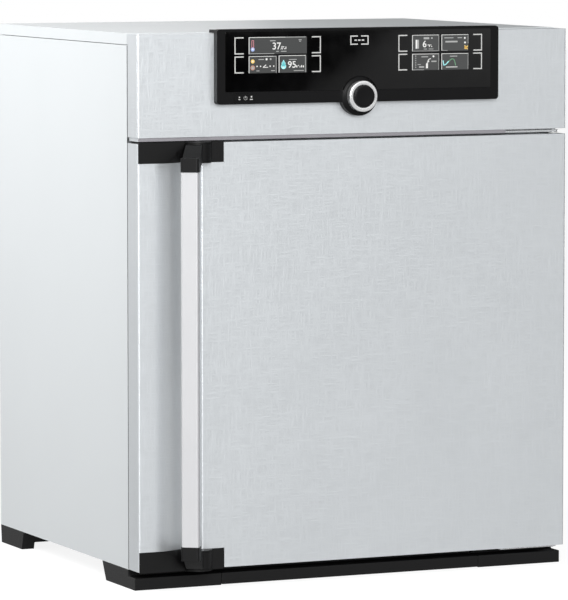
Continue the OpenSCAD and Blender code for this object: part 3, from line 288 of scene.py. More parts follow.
@dataclass(frozen=True)
class ClearGlass(Finish):
    """Float glass: clear, with its faint green only where light runs through it."""

    def extras(self) -> dict[str, float | tuple[float, ...]]:
        """Makes the shader transmit light."""
        return {"Transmission Weight": 1.0, "IOR": 1.45}


@dataclass(frozen=True)
class LitInk(Finish):
    """Marks on a lit display, a little brighter than paint.

    Attributes:
        glow: Emission strength.
    """

    grain: float = 0.6
    bump: float = 0.0
    glow: float = 0.25

    def extras(self) -> dict[str, float | tuple[float, ...]]:
        """Adds the glow to the ink's colour."""
        return {"Emission Color": linear(self.light), "Emission Strength": self.glow}


# Stainless front sheet: rolled linen relief, so the light spreads and no sharp reflection shows.
FRONT_STEEL = LinenSteel(
    "linen_rolled_stainless", "CBCFD2", "DBDFE2", 0.4, 0.8, bump=0.2, patch=150, uneven=0.03, specular=0.35
)
# The fascia's set-back edge: grey sheet painted darker as painted shade, standing in for the shadow in the
# gap.
GAP_SHADE_STEEL = Finish(
    "painted_gap_shade_sheet", "8E8C91", "98969B", metallic=0.3, grain=1.5, uneven=0.03, specular=0.3
)
# Painted sheet: a smooth powder coat with faint orange peel.
PAINTED = Finish("powder_coated_sheet", "D0D4D6", "D9DDDF", 0.38, grain=3.0, patch=200, specular=0.45)
# Galvanised sheet: dull grey crystals.
ZINC = ZincSheet("galvanised_sheet", "A3A6A8", "B9BCBE", 0.45, 0.7, bump=0.0, patch=90)
# Drawn chamber sheet: fine level brush lines on bright stainless.
CHAMBER_STEEL = Finish(
    "brushed_stainless", "BDC1C4", "CFD3D5", 0.32, 0.8, 0.6, (0.03, 1, 1), bump=0.01, uneven=0.03
)
# Brushed bar: upright brush lines.
BAR_STEEL = Finish("brushed_aluminium_bar", "C4C5C7", "CFCFD1", 0.42, 0.2, 0.5, (1, 1, 0.02), bump=0.01)
# Moulded ABS: spark-eroded mould, an even satin black.
BLACK_ABS = Finish("moulded_black_abs", "0B0B0B", "0F0F10", 0.45, grain=0.9, bump=0.03, specular=0.2)
# Bezel: the same plastic with a finer mould texture.
BEZEL_ABS = Finish("satin_black_bezel", "0C0C0D", "101011", 0.4, grain=0.5, bump=0.015, specular=0.12)
# Touch panel: hard-coated glass printed black behind, with faint wiping marks.
BLACK_GLASS = Finish(
    "black_printed_glass", "030303", "050506", 0.07, grain=40, patch=120, bump=0.0, uneven=0.02, specular=0.36
)
# Display cover: the same glass over a dark grey screen.
SCREEN = Finish("display_glass", "464747", "4C4D4D", 0.12, grain=1.0, bump=0.0, uneven=0.02, specular=0.3)
# Gaps between the fields of a display: the unlit black of the screen.
SCREEN_GAP = Finish("dark_screen_gap", "0B0B0C", "101011", 0.3, grain=0.6, bump=0.0, specular=0.2)
# Printed key marks: light grey screen print.
PRINT = Finish("light_grey_screen_print", "BFBFBD", "CBCBC9", grain=0.6, bump=0.0)
# Digits, frames and signs of the displays: near white.
WHITE_GLOW = LitInk("white_screen_marks", "CACAC8", "D4D4D2")
# Small writing and faint frames of the displays: mid grey, dimmer than the rest.
GREY_GLOW = LitInk("grey_screen_marks", "9A9B9A", "A5A6A5", glow=0.1)
# Outline of the thermometer: dusty rose.
RED_GLOW = LitInk("rose_screen_marks", "B0707A", "C08088")
# Bulb of the thermometer: pale blue.
BLUE_GLOW = LitInk("blue_screen_marks", "8498C8", "9AACDA")
# Water drop and the curve over time: pale cyan.
CYAN_GLOW = LitInk("cyan_screen_marks", "8FD0D4", "A6E2E4")
# Lamp and alarm signs: warm yellow.
YELLOW_GLOW = LitInk("yellow_screen_marks", "CFB060", "DFC070")
# Shaker sign: red brown.
BROWN_GLOW = LitInk("brown_screen_marks", "9A7466", "AC8476")
# End of the curve: dull green, dimmer than the rest.
GREEN_GLOW = LitInk("green_screen_marks", "5E8A6A", "6E9A7A", glow=0.1)
# Chrome plate: mirror bright over polished metal.
CHROME = Finish("polished_chrome", "E4E5E6", "F0F0F0", 0.2, 0.75, 1.0, bump=0.0, patch=30, uneven=0.03)
# Zinc-plated hinge steel: bright but not a mirror.
PLATED = Finish("bright_plated_steel", "D8DADC", "E6E8E9", 0.28, 0.7, 0.8, bump=0.005, patch=25)
# Seam strips: deep matt black with a fine grain, painted shade that stands in for the shadow in the open
# seams.
SEAM_SHADE_BLACK = Finish("painted_seam_shade", "121212", "1A1A1A", 0.8, grain=1.2, bump=0.05, specular=0.2)
# Door and chamber gaskets and port stoppers: grey silicone with a soft sheen.
SILICONE = Finish("grey_silicone", "7C7F7E", "888B8A", 0.6, grain=1.5)
# Bushes, access port and gas filter: white plastic, as it leaves the mould.
WHITE_PLASTIC = Finish("moulded_white_plastic", "DADAD6", "E2E2DF", 0.4, grain=1.0, bump=0.01)
# Insulation: yellow mineral wool in flat layers.
WOOL = Finish("mineral_wool", "CFC49A", "E2DAB8", 0.95, grain=2.0, stretch=(1, 0.2, 1), bump=0.4)
# Heaters: orange silicone foil with the trace of its wires.
FOIL = Finish("silicone_heater_foil", "B4601E", "C8742C", grain=4.0, stretch=(1, 0.05, 1), bump=0.05)
# Boards: green solder mask with a slight gloss.
BOARD = Finish("circuit_board", "1E5C34", "2A6E40", 0.4, grain=3.0)
# Fan motor: grey casting with the grain of its mould.
MOTOR = Finish("cast_motor_casing", "4E5052", "5E6062", metallic=0.6, grain=1.2, bump=0.05)
# Gas inlet and valve: brass with turning lines.
BRASS = Finish("turned_brass", "B8954E", "CCAA62", 0.28, 1.0, 0.4, (1, 0.05, 1), bump=0.005)
# Gas tube: smooth clear hose, which looks pale grey at this thickness.
TUBE = Finish("clear_hose", "C2CCD4", "D2DAE0", 0.25, grain=2.0, bump=0.0)
# Inner door: clear float glass.
GLASS = ClearGlass("float_glass", "F2FAF7", "F8FCFA", 0.02, grain=60, bump=0.0, uneven=0.01)
# Fan wheel: turned aluminium, finely lined.
WHEEL = Finish("turned_aluminium", "BFC1C3", "CFD1D3", 0.35, 1.0, 0.5, bump=0.005)


# Modelling


def clear_selection() -> None:
    if bpy.context.object and bpy.context.object.mode != "OBJECT":
        bpy.ops.object.mode_set(mode="OBJECT")
    bpy.ops.object.select_all(action="DESELECT")


def select_mesh() -> None:
    """Selects the whole mesh that is open in edit mode."""
    bpy.ops.mesh.select_all(action="SELECT")


def face_outwards() -> None:
    """Turns all faces of the mesh in edit mode outwards."""
    select_mesh()
    bpy.ops.mesh.normals_make_consistent(inside=False)


def merge_points(distance: float) -> None:
    """Makes one point of points in edit mode that are nearer than distance millimetres."""
    select_mesh()
    bpy.ops.mesh.remove_doubles(threshold=distance * MM)


class Workpiece:
    """One mesh that is shaped with Blender's own tools. Lengths are millimetres.

    Attributes:
        obj: The Blender object.
    """

    def __init__(self, obj: bpy.types.Object, name: str) -> None:
        """Takes hold of a new object and names it."""
        self.obj = obj
        obj.name = obj.data.name = name

    @classmethod
    def box(cls, name: str, low: Point, high: Point) -> "Workpiece":
        """Starts from a box between two corners.

        Args:
            name: Name of the piece.
            low: Lowest corner.
            high: Highest corner.

        Returns:
            The new workpiece.
        """
        clear_selection()
        middle = [(a + b) / 2 * MM for a, b in zip(low, high)]
        size = [(b - a) * MM for a, b in zip(low, high)]
        bpy.ops.mesh.primitive_cube_add(size=1, location=middle, scale=size)
        bpy.ops.object.transform_apply()
        return cls(bpy.context.object, name)

    @classmethod
    def outline(cls, name: str, points: Sequence[Point]) -> "Workpiece":
        """Starts from an open line of points, each extruded from the last.

        Args:
            name: Name of the piece.
            points: The line's points.

        Returns:
            The new workpiece, with its whole line selected in edit mode.
        """
        clear_selection()
        bpy.ops.mesh.primitive_plane_add(size=MM)
        piece = cls(bpy.context.object, name)
        piece.edit()
        select_mesh()
        bpy.ops.mesh.merge(type="CENTER")
        bpy.ops.transform.translate(value=[c * MM for c in points[0]])
        for last, point in zip(points, points[1:]):
            step = [(b - a) * MM for a, b in zip(last, point)]
            bpy.ops.mesh.extrude_region_move(TRANSFORM_OT_translate={"value": step})
        select_mesh()
        return piece

    @classmethod
    def turned(cls, name: str, profile: Sequence[Pair], axis: Pair, steps: int = 96) -> "Workpiece":
        """Spins a profile round an axis along Y.

        Args:
            name: Name of the piece.
            profile: Radius and Y of each point.
            axis: X and Z of the axis.
            steps: Facets round the axis.

        Returns:
            The new workpiece.
        """
        x, z = axis
        piece = cls.outline(name, [(x + r, y, z) for r, y in profile])
        bpy.ops.mesh.spin(steps=steps, angle=2 * math.pi, center=(x * MM, 0, z * MM), axis=(0, 1, 0))
        merge_points(0.001)
        face_outwards()
        return piece

    @classmethod
    def copy_of(cls, node: str, name: str) -> "Workpiece":
        """Starts from a copy of a CAD node, with its loose triangles merged into clean faces.

        Args:
            node: The CAD node.
            name: Name of the piece.

        Returns:
            The new workpiece.
        """
        clear_selection()
        source = frame["nodes"][node]
        obj = bpy.data.objects.new(name, source.data.copy())
        bpy.context.scene.collection.objects.link(obj)
        piece = cls(obj, name)
        piece.edit()
        merge_points(0.002)
        bpy.ops.mesh.dissolve_limited(angle_limit=math.radians(FLAT))
        return piece

    def choose(self) -> None:
        """Makes the piece the only selected and the active object, in object mode."""
        clear_selection()
        self.obj.select_set(True)
        bpy.context.view_layer.objects.active = self.obj

    def edit(self) -> None:
        """Opens the piece in edit mode."""
        if self.obj.mode != "EDIT":
            self.choose()
            bpy.ops.object.mode_set(mode="EDIT")

    def pick_level(self, z: float, reach: float = 0.01) -> None:
        """Selects the edges whose middle lies at a height, and nothing else.

        Args:
            z: The height.
            reach: How far from it they may be.
        """
        self.edit()
        bpy.ops.mesh.select_mode(type="EDGE")
        bpy.ops.mesh.select_all(action="DESELECT")
        mesh = bmesh.from_edit_mesh(self.obj.data)
        for edge in mesh.edges:
            first, second = edge.verts
            if abs((first.co.z + second.co.z) / 2 / MM - z) < reach:
                edge.select_set(True)
        mesh.select_flush_mode()
        bmesh.update_edit_mesh(self.obj.data)

    def extrude(self, y: float = 0, z: float = 0) -> None:
        """Extrudes what is selected, along Y or Z."""
        bpy.ops.mesh.extrude_region_move(TRANSFORM_OT_translate={"value": (0, y * MM, z * MM)})

    def modify(self, kind: str, **settings: object) -> None:
        """Adds one modifier and applies it.

        Args:
            kind: Blender's type name of the modifier.
            **settings: The modifier's properties.
        """
        self.choose()
        modifier = self.obj.modifiers.new(kind.title(), kind)
        for key, value in settings.items():
            setattr(modifier, key, value)
        bpy.ops.object.modifier_apply(modifier=modifier.name)

    def soften(self, width: float, angle: float = 35, segments: int = 2) -> None:
        """Rounds every edge that turns by more than angle degrees to a width, as a real edge is."""
        turn = math.radians(angle)
        self.modify("BEVEL", width=width * MM, segments=segments, limit_method="ANGLE", angle_limit=turn)

    def cut(self, cutter: "Workpiece") -> None:
        """Cuts another closed workpiece out of this one and deletes it."""
        self.modify("BOOLEAN", object=cutter.obj, operation="DIFFERENCE", solver="EXACT")
        bpy.data.objects.remove(cutter.obj)

    def paint(self, wanted: Callable[[Vector, Vector], bool], look: Finish) -> None:
        """Gives some faces a finish of their own.

        Args:
            wanted: Test of a face's middle in millimetres and its normal.
            look: Their finish.
        """
        self.obj.data.materials.append(look.material())
        last = len(self.obj.data.materials) - 1
        for face in self.obj.data.polygons:
            if wanted(face.center / MM, face.normal):
                face.material_index = last

    def finish(self, body: str, slot: str, look: Finish, *nodes: str, smooth: float = 32) -> "Workpiece":
        """Closes the work: material, shading, body and the CAD nodes that it stands for.

        Args:
            body: The CAD body that it rides on.
            slot: The record's material slot; not used.
            look: Its finish.
            *nodes: CAD nodes that it replaces.
            smooth: Faces that meet at less than this many degrees are shaded smooth.

        Returns:
            The workpiece itself.
        """
        self.choose()
        bpy.ops.object.shade_smooth_by_angle(angle=math.radians(smooth))
        self.modify("WEIGHTED_NORMAL", keep_sharp=True)
        self.obj.data.materials.clear()
        self.obj.data.materials.append(look.material())
        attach(self.obj, body)
        if nodes:
            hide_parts(*nodes)
        log.info("%s: %d faces on %s", self.obj.name, len(self.obj.data.polygons), body)
        return self


def soften_nodes(slot: str, look: Finish, width: float, *nodes: str) -> list[Workpiece]:
    """Replaces CAD nodes by copies whose edges are rounded.

    Args:
        slot: The record's material slot.
        look: Their finish.
        width: Width of the rounding.
        *nodes: The CAD nodes.

    Returns:
        The finished pieces.
    """
    made = []
    for node in nodes:
        piece = Workpiece.copy_of(node, node + "_made")
        piece.soften(width)
        made.append(piece.finish(frame["nodes"][node]["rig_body"], slot, look, node))
    return made


def dress_nodes(look: Finish, *nodes: str) -> None:
    """Gives CAD nodes that stay as they are their material.

    Args:
        look: The finish.
        *nodes: The CAD nodes.
    """
    for node in nodes:
        data = frame["nodes"][node].data
        data.materials.clear()
        data.materials.append(look.material())
        log.info("%s: kept, %s", node, look.name)


@dataclass
class Marks:
    """Flat marks on a front face, joined into one thin raised mesh.

    Attributes:
        name: Name of the piece.
        back: Y of the face that carries the marks.
        rise: How far the marks stand out.
        overlap: How much longer each stroke of a line is than the way between its points, in widths.
    """

    name: str
    back: float
    rise: float = 0.08
    overlap: float = 0.6

    def __post_init__(self) -> None:
        """Starts with no marks."""
        self.shapes: list[Callable[[], None]] = []

    def plate(self, x: float, z: float, wide: float, high: float, turn: float = 0.0) -> "Marks":
        """Adds a filled rectangle.

        Args:
            x: Middle.
            z: Middle.
            wide: Width.
            high: Height.
            turn: Turn about Y, in radians.

        Returns:
            The marks.
        """

        def draw() -> None:
            """Draws it."""
            place = (x * MM, self.back * MM, z * MM)
            bpy.ops.mesh.primitive_plane_add(size=1, location=place, rotation=(math.pi / 2, turn, 0))
            bpy.context.object.scale = (wide * MM, high * MM, 1)

        self.shapes.append(draw)
        return self

    def bar(self, x0: float, x1: float, z0: float, z1: float) -> "Marks":
        """Adds a filled rectangle between two X and two Z, and gives the marks back."""
        return self.plate((x0 + x1) / 2, (z0 + z1) / 2, x1 - x0, z1 - z0)

    def disc(self, x: float, z: float, radius: float, sides: int = 24) -> "Marks":
        """Adds a filled disc.

        Args:
            x: Middle.
            z: Middle.
            radius: Its radius.
            sides: Facets round it.

        Returns:
            The marks.
        """
        self.shapes.append(
            lambda: bpy.ops.mesh.primitive_circle_add(
                vertices=sides,
                radius=radius * MM,
                fill_type="NGON",
                location=(x * MM, self.back * MM, z * MM),
                rotation=(math.pi / 2, 0, 0),
            )
        )
        return self

    def line(self, points: Sequence[Pair], width: float) -> "Marks":
        """Adds a line of straight strokes.

        Args:
            points: X and Z of its points.
            width: Width of the strokes.

        Returns:
            The marks.
        """
        for (x0, z0), (x1, z1) in zip(points, points[1:]):
            length = math.hypot(x1 - x0, z1 - z0) + width * self.overlap
            self.plate((x0 + x1) / 2, (z0 + z1) / 2, length, width, -math.atan2(z1 - z0, x1 - x0))
        return self

    def bracket(self, x: float, reach: float, z0: float, z1: float, width: float) -> "Marks":
        """Adds a square bracket.

        Args:
            x: Outer side of its upright stroke.
            reach: Length of its arms, positive to the right.
            z0: Lower side.
            z1: Upper side.
            width: Width of the strokes.

        Returns:
            The marks.
        """
        inward = math.copysign(width, reach)
        self.bar(*sorted((x, x + inward)), z0, z1)
        for low in (z0, z1 - width):
            self.bar(*sorted((x + inward, x + reach)), low, low + width)
        return self

    def make(self, body: str, slot: str, look: Finish) -> Workpiece:
        """Builds the marks as one piece.

        Args:
            body: The CAD body that they ride on.
            slot: The record's material slot.
            look: Their finish.

        Returns:
            The finished piece.
        """
        clear_selection()
        made = []
        for shape in self.shapes:
            shape()
            made.append(bpy.context.object)
        for obj in made:
            obj.select_set(True)
        bpy.ops.object.join()
        bpy.ops.object.transform_apply()
        piece = Workpiece(bpy.context.object, self.name)
        piece.edit()
        select_mesh()
        piece.extrude(y=-self.rise)
        face_outwards()
        return piece.finish(body, slot, look)


# Digits in Blender's built-in letters: font size and added weight for a height of 1.
DIGIT_SCALE, DIGIT_WEIGHT = 1.43, 0.012
# Half their thickness, and how far their middle lies before the face.
DIGIT_HALF, DIGIT_LIFT = 0.04, 0.06


def numeral(name: str, words: str, size: float, low: Pair, back: float, look: Finish) -> Workpiece:
    """Builds numbers as thin raised marks.

    Args:
        name: Name of the piece.
        words: The digits.
        size: Height of a digit.
        low: X and Z of the lower left corner.
        back: Y of the face that carries them.
        look: Their finish.

    Returns:
        The finished piece.
    """
    clear_selection()
    bpy.ops.object.text_add()
    text = bpy.context.object
    text.data.body = words
    text.data.size = size * DIGIT_SCALE * MM
    text.data.extrude = DIGIT_HALF * MM
    text.data.offset = DIGIT_WEIGHT * size * MM
    bpy.ops.object.convert(target="MESH")
    obj = bpy.context.object
    obj.rotation_euler = (math.pi / 2, 0, 0)
    obj.location = (low[0] * MM, (back - DIGIT_LIFT) * MM, low[1] * MM)
    bpy.ops.object.transform_apply()
    return Workpiece(obj, name).finish("case", "display", look)


# Sub-assemblies


@dataclass
class Cabinet:
    """The case: painted covers, stainless fascia, zinc-coated inner sheets, plinth, feet and bumpers.

    Attributes:
        edge: Rounding of the sheet edges.
        plate_edge: Rounding of the plated hinge plates and screws.
        plastic_edge: Rounding of the moulded feet.
        strip_high: Z below which the fascia's set-back strip shows.
        seam: X of the inner side of the seam strips, which are painted shade, and Y of their back.
        shade_strip: Width, depth and rounding of the strips.
        left_seam: Z of the ends of the left strip.
        right_seam: Z of the ends of the right strip, which stays clear of the door's hinge side.
    """

    edge: float = 0.35
    plate_edge: float = 0.4
    plastic_edge: float = 1.2
    strip_high: float = 680.6
    seam: Pair = (357.8, -226.43)
    shade_strip: Triple = (1.4, 2.4, 0.3)
    left_seam: Pair = (30.0, 817.5)
    right_seam: Pair = (684.0, 817.5)

    def covers(self) -> None:
        """Makes the painted covers and the fascia, whose set-back strip gets a darker grey as painted shade.
        """
        soften_nodes("painted_steel", PAINTED, self.edge, "left_side_panel", "right_side_panel", "top_cover")
        (fascia,) = soften_nodes("textured_stainless", FRONT_STEEL, self.edge, "front_fascia")
        # The strip is what looks forward below strip_high; its darker grey is painted shade for the gap.
        fascia.paint(lambda p, d: p.z < self.strip_high and d.y < -0.5, GAP_SHADE_STEEL)

    def sheets(self) -> None:
        """Makes the zinc-coated sheets."""
        nodes = ("rear_panel", "base_pan", "front_frame", "service_deck", "latch_strike")
        soften_nodes("galvanised_steel", ZINC, self.edge, *nodes)
        soften_nodes("chromed_steel", PLATED, self.plate_edge, "case_screws")

    def stands(self) -> None:
        """Makes the feet, the plinth strip and the bumpers."""
        nodes = ("front_feet", "front_plinth", "rear_feet", "rear_bumpers")
        soften_nodes("black_abs", BLACK_ABS, self.plastic_edge, *nodes)

    def shade_seams(self) -> None:
        """Fills the open seam in front of each side panel with a black strip, painted shade for the shadow in
        the seam.
        """
        x, y = self.seam
        wide, deep, rounding = self.shade_strip
        strips = (("left_seam_strip", -x - wide, self.left_seam), ("right_seam_strip", x, self.right_seam))
        for name, x0, (z0, z1) in strips:
            strip = Workpiece.box(name, (x0, y - deep, z0), (x0 + wide, y, z1))
            strip.soften(rounding)
            # The slot is the record's; the strip is painted shade, not a rubber seal.
            strip.finish("case", "silicone", SEAM_SHADE_BLACK)

    def hinges(self) -> None:
        """Makes the hinge plates and the glass door's posts."""
        nodes = ("top_hinge_plate", "bottom_hinge_plate", "glass_hinge_posts")
        soften_nodes("chromed_steel", PLATED, self.plate_edge, *nodes)

    def build(self) -> None:
        """Makes the whole case."""
        self.covers()
        self.sheets()
        self.stands()
        self.shade_seams()
        self.hinges()


@dataclass
class Screen:
    """One display, drawn in millimetres to the right of and below its upper left corner.

    Attributes:
        name: Start of its pieces' names.
        left: X of its left side.
        top: Z of its upper side.
        face: Y of its front.
    """

    name: str
    left: float
    top: float
    face: float

    def draw(
        self, ink: str, look: Finish, bars: Sequence = (), discs: Sequence = (), lines: Sequence = (),
        lift: float = 0.0,
    ) -> None:
        """Draws all marks of one colour as one piece.

        Args:
            ink: End of the piece's name.
            look: Its finish.
            bars: Left, right, upper and lower side of each filled rectangle.
            discs: Place across and down and radius of each disc.
            lines: Width of each line, followed by its points.
            lift: How much further the marks stand out.
        """
        marks = Marks(f"{self.name}_{ink}", self.face, Marks.rise + lift)
        for x0, x1, upper, lower in bars:
            marks.bar(self.left + x0, self.left + x1, self.top - lower, self.top - upper)
        for x, down, radius in discs:
            marks.disc(self.left + x, self.top - down, radius)
        for width, *points in lines:
            marks.line([(self.left + x, self.top - down) for x, down in points], width)
        marks.make("case", "display", look)

    def digits(self, ink: str, words: str, size: float, x: float, down: float, look: Finish) -> None:
        """Writes a number by its height, its left side and its baseline."""
        numeral(f"{self.name}_{ink}", words, size, (self.left + x, self.top - down), self.face, look)


@dataclass
class ControlPanel:
    """Bezel, touch panel, two displays, dial and power button.

    Attributes:
        glass: Y of the touch panel's front.
        screen: Y of the displays' front.
        screen_x: Distance of the displays' middles from the centre.
        screen_w: Width of a display.
        screen_top: Upper side of the displays.
        knob_z: Height of the dial's axis.
        knob_back: Y of the dial ring's back.
        button: X and Z of the power button's middle.
        button_face: Y of its front.
        stroke: Width of the printed lines.
        key_x: X of the touch keys' left and right brackets from a display's middle.
        key_rows: Z of the ends of the lower and the upper brackets.
        key_reach: Length of their arms.
        menu_x: X of the menu key's two brackets.
        menu_z: Z of their ends.
        menu_reach: Length of their arms.
        ring_depth: How far the dial ring stands out.
        cap_out: How far the cap stands out of the ring.
    """

    glass: float = -279.918
    screen: float = -279.718
    screen_x: float = 136.0
    screen_w: float = 95.6
    screen_top: float = 829.2
    knob_z: float = 738.2
    knob_back: float = -283.718
    button: Pair = (-189.5, 738.4)
    button_face: float = -280.318
    stroke: float = 1.7
    key_x: Pair = (-71.2, 71.0)
    key_rows: tuple[Pair, ...] = ((775.5, 800.9), (803.9, 829.5))
    key_reach: float = 15.0
    menu_x: Pair = (-15.9, 14.6)
    menu_z: Pair = (815.7, 829.7)
    menu_reach: float = 12.5
    ring_depth: float = 11.0
    cap_out: float = 4.5

    def casing(self) -> None:
        """Makes the bezel, the touch panel and the display modules."""
        soften_nodes("black_abs", BEZEL_ABS, 0.7, "panel_bezel")
        soften_nodes("black_glass", BLACK_GLASS, 0.25, "touch_panel")
        soften_nodes("display", SCREEN, 0.15, "display_modules")

    def key_marks(self) -> None:
        """Prints the brackets of the touch keys and of the menu key."""
        marks = Marks("key_brackets", self.glass)
        left, right = self.key_x
        for middle in (-self.screen_x, self.screen_x):
            for z0, z1 in self.key_rows:
                marks.bracket(middle + left, self.key_reach, z0, z1, self.stroke)
                marks.bracket(middle + right, -self.key_reach, z0, z1, self.stroke)
        (left, right), (z0, z1) = self.menu_x, self.menu_z
        marks.bracket(left, self.menu_reach, z0, z1, self.stroke)
        marks.bracket(right, -self.menu_reach, z0, z1, self.stroke)
        # Three short bars stand for the word on the menu key.
        for x in (-9.0, -3.0, 3.0):
            marks.bar(x, x + 4.2, 821.6, 823.6)
        marks.make("case", "black_glass", PRINT)

    def left_screen(self) -> None:
        """Draws the left display: temperature above, shaker and humidity below."""
        screen = Screen("left_screen", -self.screen_x - self.screen_w / 2, self.screen_top, self.screen)
        screen.draw(
            "white", WHITE_GLOW,
            bars=[(0, 1.1, 0, 25.2), (1.1, 60, 0, 0.8), (0, 1.0, 28.5, 53.5), (1.0, 40, 28.5, 29.2),
                  (49.2, 50.3, 27.9, 53.3), (50.3, 93.7, 27.9, 28.7), (58, 60, 17.2, 18.4),
                  (60.4, 61.6, 14.6, 18.4), (78, 80, 43.2, 46.2), (86, 87.6, 42.8, 46.2),
                  (89, 90.8, 43.4, 46.2)],
            discs=[(29.2, 33.2, 1.7), (6.5, 36.2, 1.2), (6.5, 45.8, 1.3), (57.4, 14.8, 0.8), (82, 43.3, 0.8),
                   (84.2, 45.5, 0.8), (6.5, 18, 1.4), (56.6, 45, 1.1)]
            + [(x, 43.6, 1.1) for x in (13.6, 19.4, 35.1, 41)],
            lines=[(1.2, (23.6, 45.2), (28.2, 41.6)), (1.0, (24, 45.4), (31.4, 45.2))],
        )
        screen.draw(
            "grey", GREY_GLOW,
            bars=[(60, 94, 0, 1.0), (1.7, 42, 24.3, 25.1), (40, 45.5, 28.5, 29.4), (44.6, 45.5, 29.4, 53.5),
                  (92.8, 93.7, 29.1, 53.3), (35, 44, 5, 6.2), (82, 87, 4.2, 5.4), (83, 86, 6.4, 7.4),
                  (45, 49.4, 21, 22.2), (52.8, 62, 21, 22.2), (16, 25, 32.8, 34), (34.6, 37.2, 31.8, 34.4),
                  (12.6, 17.4, 49.8, 51), (36.6, 43.2, 49.8, 51), (66, 79, 33.6, 34.6),
                  (74, 90.6, 50.4, 51.4)],
            discs=[(6.5, 46, 2.2)],
        )
        screen.draw("gaps", SCREEN_GAP, bars=[(0, 95.6, 25.2, 27.9), (45.5, 49.2, 27.9, 53.7)], lift=-0.04)
        screen.draw("rose", RED_GLOW, lines=[(1.0, (5, 16), (5, 5), (8, 5), (8, 16))], lift=0.02)
        screen.draw("blue", BLUE_GLOW, discs=[(6.5, 18.2, 3.1)], lift=-0.03)
        screen.draw("yellow", YELLOW_GLOW, discs=[(6.5, 36.2, 3.1)], lift=-0.03)
        screen.draw("brown", BROWN_GLOW, discs=[(6.5, 45.8, 3.7)], lift=-0.03)
        screen.draw(
            "cyan", CYAN_GLOW, discs=[(57.2, 44.2, 4.2)],
            lines=[(6.4, (57.2, 42.6), (57.2, 40.4)), (3.8, (57.2, 40.4), (57.2, 37.8)),
                   (1.6, (57.2, 38), (57.2, 35.2))],
            lift=-0.03,
        )
        screen.digits("temperature", "37", 10.3, 38.3, 18.5, WHITE_GLOW)
        screen.digits("temperature_decimal", ".0", 4.8, 51.6, 18.5, WHITE_GLOW)
        screen.digits("humidity", "95", 9.9, 64, 46.4, WHITE_GLOW)

    def right_screen(self) -> None:
        """Draws the right display: gas, alarms, light and a curve over time."""
        screen = Screen("right_screen", self.screen_x - self.screen_w / 2, self.screen_top, self.screen)
        screen.draw(
            "white", WHITE_GLOW,
            bars=[(0, 1.0, 0.2, 25), (1.0, 45.5, 0.2, 0.9), (0, 1.0, 28.9, 53.6), (1.0, 45.5, 28.9, 29.6),
                  (49.7, 50.7, 0.2, 24.6), (50.7, 95.4, 0.2, 0.9), (49.7, 50.6, 28.9, 53.4),
                  (50.6, 95.3, 28.9, 29.6), (5.8, 8.9, 7.4, 21), (57.5, 77, 49.2, 50.2),
                  (28.4, 29.9, 15, 18.5), (23.4, 26.8, 43.4, 51)],
            discs=[(89.4, 5.6, 1.5), (89.8, 12.6, 1.5), (36, 33, 1.6), (27, 15.4, 0.9), (31.6, 15.6, 0.8),
                   (33, 18, 0.8), (27.4, 40.4, 1.7)],
            lines=[(1.2, (25.4, 43), (27.6, 37.6), (31.4, 36.4))],
        )
        screen.draw(
            "grey", GREY_GLOW,
            bars=[(44.7, 45.5, 1.3, 25), (1.5, 44, 24.3, 25), (44.7, 45.5, 30, 53.6), (1.4, 20, 52.8, 53.6),
                  (94.6, 95.4, 1.3, 14), (94.6, 95.3, 30, 53.4), (51.1, 60, 24, 24.6), (9.5, 11.4, 7.4, 21),
                  (19.4, 28.8, 3.8, 6.8), (32, 34.6, 4, 6.2), (19.4, 25, 21.2, 22.2), (28, 35.8, 21.2, 22.2),
                  (54.4, 70, 4.6, 5.8), (77, 84.6, 4.6, 5.8), (56.4, 77, 9.8, 12.2), (15.6, 27, 32.8, 34.2),
                  (32.6, 41.2, 39.6, 41.6), (9.4, 14.6, 44.6, 45.6), (11.6, 20.2, 47.8, 50),
                  (64.2, 76.6, 32.6, 33.8)]
            + [(5.2, 6.8, 31.4 + step, 33 + step) for step in (0, 3.4, 6.8, 10.2, 13.6, 17)],
        )
        screen.draw(
            "gaps", SCREEN_GAP, bars=[(45.5, 49.7, 0, 53.7), (0, 45.5, 25.1, 28.9), (49.7, 95.6, 25, 28.9)],
            lift=-0.04,
        )
        screen.draw(
            "yellow", YELLOW_GLOW, discs=[(91.4, 20.4, 2.4)],
            lines=[(1.6, (89.4, 17.4), (94, 22.6)), (1.6, (94.4, 18), (89.2, 21.6))],
        )
        curve = (1.4, (61.4, 41.4), (67.4, 37.2), (70.6, 37.8), (72.2, 41), (73.8, 47))
        screen.draw("green", GREEN_GLOW, lines=[curve])
        curve = (1.5, (52.4, 40), (53.8, 46.8), (57.4, 45.4), (61.8, 41.2))
        screen.draw("cyan", CYAN_GLOW, lines=[curve], lift=0.02)
        screen.digits("gas", "6", 9.9, 17.4, 18.8, WHITE_GLOW)

    def dial(self) -> None:
        """Turns the bright ring and the black cap."""
        y = self.knob_back
        front = y - self.ring_depth
        ring = Workpiece.turned(
            "dial_ring_made",
            [(5.1, y), (22.6, y), (23.3, y - 0.4), (23.5, y - 1), (23.5, y - 9.2), (23.2, y - 10.2),
             (22.4, y - 10.8), (21.4, front), (18.6, front), (17.6, y - 10.7), (17.1, y - 10.1),
             (17.05, y - 3), (5.1, y - 3), (5.1, y)],
            (0, self.knob_z),
        )
        ring.finish("dial", "chromed_ring", CHROME, "dial_ring")
        tip = front - self.cap_out
        cap = Workpiece.turned(
            "dial_cap_made",
            [(0, tip + 0.5), (8, tip + 0.35), (13, tip), (15.2, tip), (16.2, tip + 0.5), (16.75, tip + 1.6),
             (16.75, y - 4.8), (5.5, y - 4.8), (5.5, y - 6.3), (0, y - 6.3)],
            (0, self.knob_z),
        )
        cap.finish("dial_cap", "black_abs", BEZEL_ABS, "dial_cap")

    def power_key(self) -> None:
        """Makes the power button and prints its three signs."""
        soften_nodes("black_abs", BEZEL_ABS, 0.5, "power_button")
        x, z = self.button
        marks = Marks("power_signs", self.button_face)
